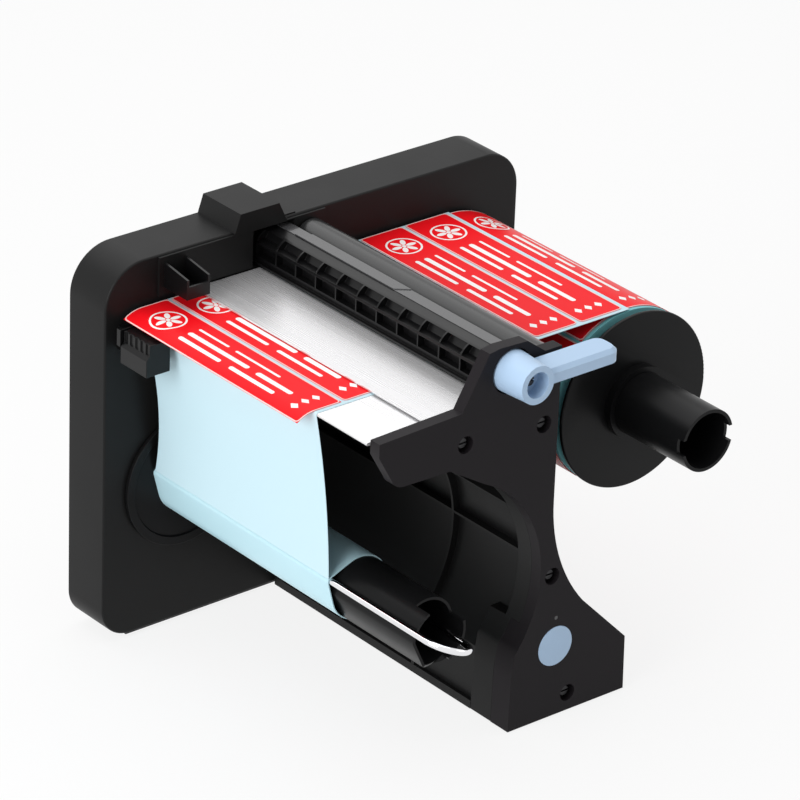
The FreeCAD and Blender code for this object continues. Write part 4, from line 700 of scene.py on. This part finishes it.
@dataclass
class Web:
    """The liner and the labels on it, from the roll to the peel edge.

    Attributes:
        print_design: The print that every label carries.
        paper_edge: The round on the paper's edges.
        label_gap: The bare liner between two labels.
        line_steps: The steps in which a bent label is followed.
        line_margin_share: How far inside its ends it is followed, as a share of its width.
        drop_height: The height over a label from which it is followed.
        place_digits: The digits, in metres, to which two corners count as level.
    """

    print_design: LabelPrint = field(default_factory=LabelPrint)
    paper_edge: EdgeRound = EdgeRound(0.05 * MM, 1)
    label_gap: float = 2.0 * MM
    line_steps: int = 60
    line_margin_share: float = 0.002
    drop_height: float = 10.0 * MM
    place_digits: int = 5

    def build(self) -> None:
        """Finishes the liner and prints every label."""
        soften("web_top", LINER_BLUE, self.paper_edge)
        soften("liner_drop", LINER_BLUE, self.paper_edge)
        soften("leading_label", LABEL_RED, self.paper_edge)
        soften("web_labels", LABEL_RED, self.paper_edge)
        soften("roll_labels", LABEL_RED, self.paper_edge)
        self.print_leading()
        self.print_flat()
        self.print_roll()

    def print_leading(self) -> None:
        """Prints the label that hangs over the peel edge, following its bend."""
        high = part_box("leading_label")[1]
        line = self.top_line("leading_label")
        width = self.print_design.label_w
        reach = [0.0]
        for near, next_one in zip(line, line[1:]):
            reach.append(reach[-1] + (next_one - near).length)
        spare = (reach[-1] - width) / 2

        def place(point: Vector) -> Vector:
            """Bends a point on to the label.

            Args:
                point: Across, along and height on the label.

            Returns:
                Its place in the frame.
            """
            want = min(max(spare + point.x, 0.0), reach[-1])
            i = max(k for k in range(len(line) - 1) if reach[k] <= want)
            way = line[i + 1] - line[i]
            spot = line[i] + way * ((want - reach[i]) / way.length)
            out = Vector((-way.z, 0.0, way.x)).normalized() * point.z
            return Vector((spot.x, high.y - point.y, spot.z)) + out

        self.print_design.lay("leading_label", "base", place)

    def top_line(self, node: str) -> list[Vector]:
        """Follows a label's upper face across its middle, from low X to high X.

        Args:
            node: The label's node.

        Returns:
            The points, in the XZ plane through the label's middle.
        """
        low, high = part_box(node)
        bm = bmesh.new()
        bm.from_mesh(frame["nodes"][node].data)
        tree = BVHTree.FromBMesh(bm)
        bm.free()
        margin = self.line_margin_share
        line = []
        for i in range(self.line_steps + 1):
            x = low.x + (high.x - low.x) * min(max(i / self.line_steps, margin), 1.0 - margin)
            start = Vector((x, (low.y + high.y) / 2, high.z + self.drop_height))
            spot = tree.ray_cast(start, Vector((0, 0, -1)))[0]
            if spot is not None:
                line.append(Vector((spot.x, 0.0, spot.z)))
        return line

    def print_flat(self) -> None:
        """Prints each label that lies flat."""
        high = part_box("web_labels")[1]
        mesh = frame["nodes"]["web_labels"].data
        lefts = sorted({round(v.co.x, self.place_digits) for v in mesh.vertices})
        width = self.print_design.label_w
        starts = [lefts[0]]
        for x in lefts:
            if x > starts[-1] + width + self.label_gap / 2:
                starts.append(x)
        for i, left in enumerate(starts):

            def place(point: Vector, left: float = left) -> Vector:
                """Lays a point on a flat label.

                Args:
                    point: Across, along and height on the label.
                    left: The X of the label's leading edge.

                Returns:
                    Its place in the frame.
                """
                return Vector((left + point.x, high.y - point.y, high.z + point.z))

            self.print_design.lay(f"flat_label_{i + 1}", "base", place)

    def print_roll(self) -> None:
        """Prints the labels on the roll's outer turn."""
        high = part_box("roll_labels")[1]
        roll_low, roll_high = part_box("label_roll")
        centre = (roll_low + roll_high) / 2
        radius = max((Vector((v.co.x, v.co.z)) - Vector((centre.x, centre.z))).length
                     for v in frame["nodes"]["roll_labels"].data.vertices)
        inner = (roll_high.x - roll_low.x) / 2
        pitch = (self.print_design.label_w + self.label_gap) / inner
        flat_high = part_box("web_labels")[1]
        first = math.pi / 2 + (centre.x - (flat_high.x + self.label_gap)) / inner
        count = int(2 * math.pi / pitch)
        for i in range(count):
            start = first - i * pitch

            def place(point: Vector, start: float = start) -> Vector:
                """Wraps a point round the roll.

                Args:
                    point: Across, along and height on the label.
                    start: The angle of the label's leading edge.

                Returns:
                    Its place in the frame.
                """
                angle = start - point.x / inner
                reach = radius + point.z
                return Vector((centre.x + reach * math.cos(angle), high.y - point.y,
                               centre.z + reach * math.sin(angle)))

            self.print_design.lay(f"roll_label_{i + 1}", "supply_reel", place)


# Floor, lamps and camera


@dataclass
class Lamp:
    """One soft round lamp, aimed at the machine.

    Attributes:
        name: What the lamp is called.
        place: Where it stands.
        size: Its diameter.
        power: Its power in watts.
    """

    name: str
    place: tuple[float, float, float]
    size: float
    power: float

    def build(self, target: Vector) -> None:
        """Makes the lamp and aims it.

        Args:
            target: The point that it is aimed at.
        """
        data = bpy.data.lights.new(self.name, "AREA")
        data.shape = "DISK"
        data.size = self.size
        data.energy = self.power
        lamp = bpy.data.objects.new(self.name, data)
        bpy.context.collection.objects.link(lamp)
        lamp.location = self.place
        lamp.rotation_euler = (target - lamp.location).to_track_quat("-Z", "Y").to_euler()


@dataclass
class Studio:
    """The pale floor, the soft lamps, the white surroundings and the camera.

    Attributes:
        floor_size: The floor's side.
        floor_grey: The floor's own grey.
        floor_roughness: How rough the floor is.
        floor_shine: The strength of its plain reflections.
        floor_glow: The share of pure white in what the camera sees of it.
        surround: How strongly the surroundings light the machine.
        lens: The lens's focal length in millimetres.
        sensor: The picture's width behind it in millimetres.
        far: How far the camera sees.
        target: The point in the picture's middle.
        right: The way that is right in the picture.
        up: The way that is up in it.
        back: The way from the target to the camera.
        distance: How far the camera is from the target.
    """

    floor_size: float = 12.0
    floor_grey: float = 0.86
    floor_roughness: float = 0.9
    floor_shine: float = 0.1
    floor_glow: float = 0.84
    surround: float = 0.35
    lens: float = 227.57
    sensor: float = 36.0
    far: float = 100.0
    target: tuple[float, float, float] = (0.06385, 0.1088, 0.09249)
    right: tuple[float, float, float] = (0.775, -0.6311, 0.0335)
    up: tuple[float, float, float] = (0.2597, 0.3665, 0.8934)
    back: tuple[float, float, float] = (-0.5761, -0.6837, 0.4479)
    distance: float = 2.8798

    def lamps(self) -> list[Lamp]:
        """Lists the studio's lamps.

        Returns:
            The overhead lamp and two fills.
        """
        return [
            Lamp("overhead", place=(0.1, 0.45, 1.5), size=2.4, power=18.0),
            Lamp("left_fill", place=(-1.6, -0.3, 0.8), size=1.2, power=20.0),
            Lamp("right_fill", place=(1.5, -0.9, 1.0), size=1.0, power=3.0),
        ]

    def floor(self) -> None:
        """Lays the pale floor."""
        bm = bmesh.new()
        bmesh.ops.create_grid(bm, x_segments=1, y_segments=1, size=self.floor_size / 2)
        mesh = bpy.data.meshes.new("floor")
        bm.to_mesh(mesh)
        bm.free()
        floor = bpy.data.objects.new("floor", mesh)
        bpy.context.collection.objects.link(floor)
        material = bpy.data.materials.new("floor_pale")
        material.use_nodes = True
        tree = material.node_tree
        shader = tree.nodes["Principled BSDF"]
        shader.inputs["Base Color"].default_value = (*[self.floor_grey] * 3, 1.0)
        shader.inputs["Roughness"].default_value = self.floor_roughness
        shader.inputs["Specular IOR Level"].default_value = self.floor_shine
        glow = tree.nodes.new("ShaderNodeEmission")
        mix = tree.nodes.new("ShaderNodeMixShader")
        seen = self.seen(tree)
        share = tree.nodes.new("ShaderNodeMath")
        share.operation = "MULTIPLY"
        share.inputs[1].default_value = self.floor_glow
        tree.links.new(seen, share.inputs[0])
        tree.links.new(share.outputs[0], mix.inputs[0])
        tree.links.new(shader.outputs[0], mix.inputs[1])
        tree.links.new(glow.outputs[0], mix.inputs[2])
        tree.links.new(mix.outputs[0], tree.nodes["Material Output"].inputs["Surface"])
        mesh.materials.append(material)

    @staticmethod
    def seen(tree: bpy.types.NodeTree) -> bpy.types.NodeSocket:
        """Finds whether a ray is the camera's own, a reflection or one sent through a clear piece.

        Args:
            tree: The node tree to add the test to.

        Returns:
            A socket that is 1 for such a ray.
        """
        path = tree.nodes.new("ShaderNodeLightPath")
        first = tree.nodes.new("ShaderNodeMath")
        first.operation = "MAXIMUM"
        tree.links.new(path.outputs["Is Camera Ray"], first.inputs[0])
        tree.links.new(path.outputs["Is Glossy Ray"], first.inputs[1])
        second = tree.nodes.new("ShaderNodeMath")
        second.operation = "MAXIMUM"
        tree.links.new(first.outputs[0], second.inputs[0])
        tree.links.new(path.outputs["Is Transmission Ray"], second.inputs[1])
        return second.outputs[0]

    def surroundings(self) -> None:
        """Makes the surroundings white to the eye and soft as a light."""
        world = bpy.data.worlds.new("studio")
        bpy.context.scene.world = world
        world.use_nodes = True
        tree = world.node_tree
        sky = tree.nodes["Background"]
        sky.inputs["Color"].default_value = (1.0, 1.0, 1.0, 1.0)
        strength = tree.nodes.new("ShaderNodeMapRange")
        strength.inputs["To Min"].default_value = self.surround
        strength.inputs["To Max"].default_value = 1.0
        tree.links.new(self.seen(tree), strength.inputs["Value"])
        tree.links.new(strength.outputs["Result"], sky.inputs["Strength"])

    def camera(self) -> None:
        """Sets the camera at the picture's angle."""
        data = bpy.data.cameras.new("camera")
        data.lens = self.lens
        data.sensor_width = self.sensor
        data.clip_end = self.far
        camera = bpy.data.objects.new("camera", data)
        bpy.context.collection.objects.link(camera)
        place = Vector(self.target) + Vector(self.back) * self.distance
        turn = Matrix((self.right, self.up, self.back)).transposed().to_4x4()
        camera.matrix_world = Matrix.Translation(place) @ turn
        bpy.context.scene.camera = camera

    def build(self) -> None:
        """Sets up the whole studio."""
        bpy.context.scene.view_settings.view_transform = "Standard"
        self.floor()
        self.surroundings()
        for lamp in self.lamps():
            lamp.build(Vector(self.target))
        self.camera()


def main() -> None:
    """Builds every sub-assembly in order."""
    logging.basicConfig(level=logging.INFO, format="%(name)s %(message)s")
    for part in (Housing(), FrontAndTable(), Sensor(), Nip(), Reels(), Insides(), Web(), Studio()):
        part.build()
        LOG.info("finished %s", type(part).__name__)
    bpy.context.view_layer.update()


if __name__ == "__main__":
    main()
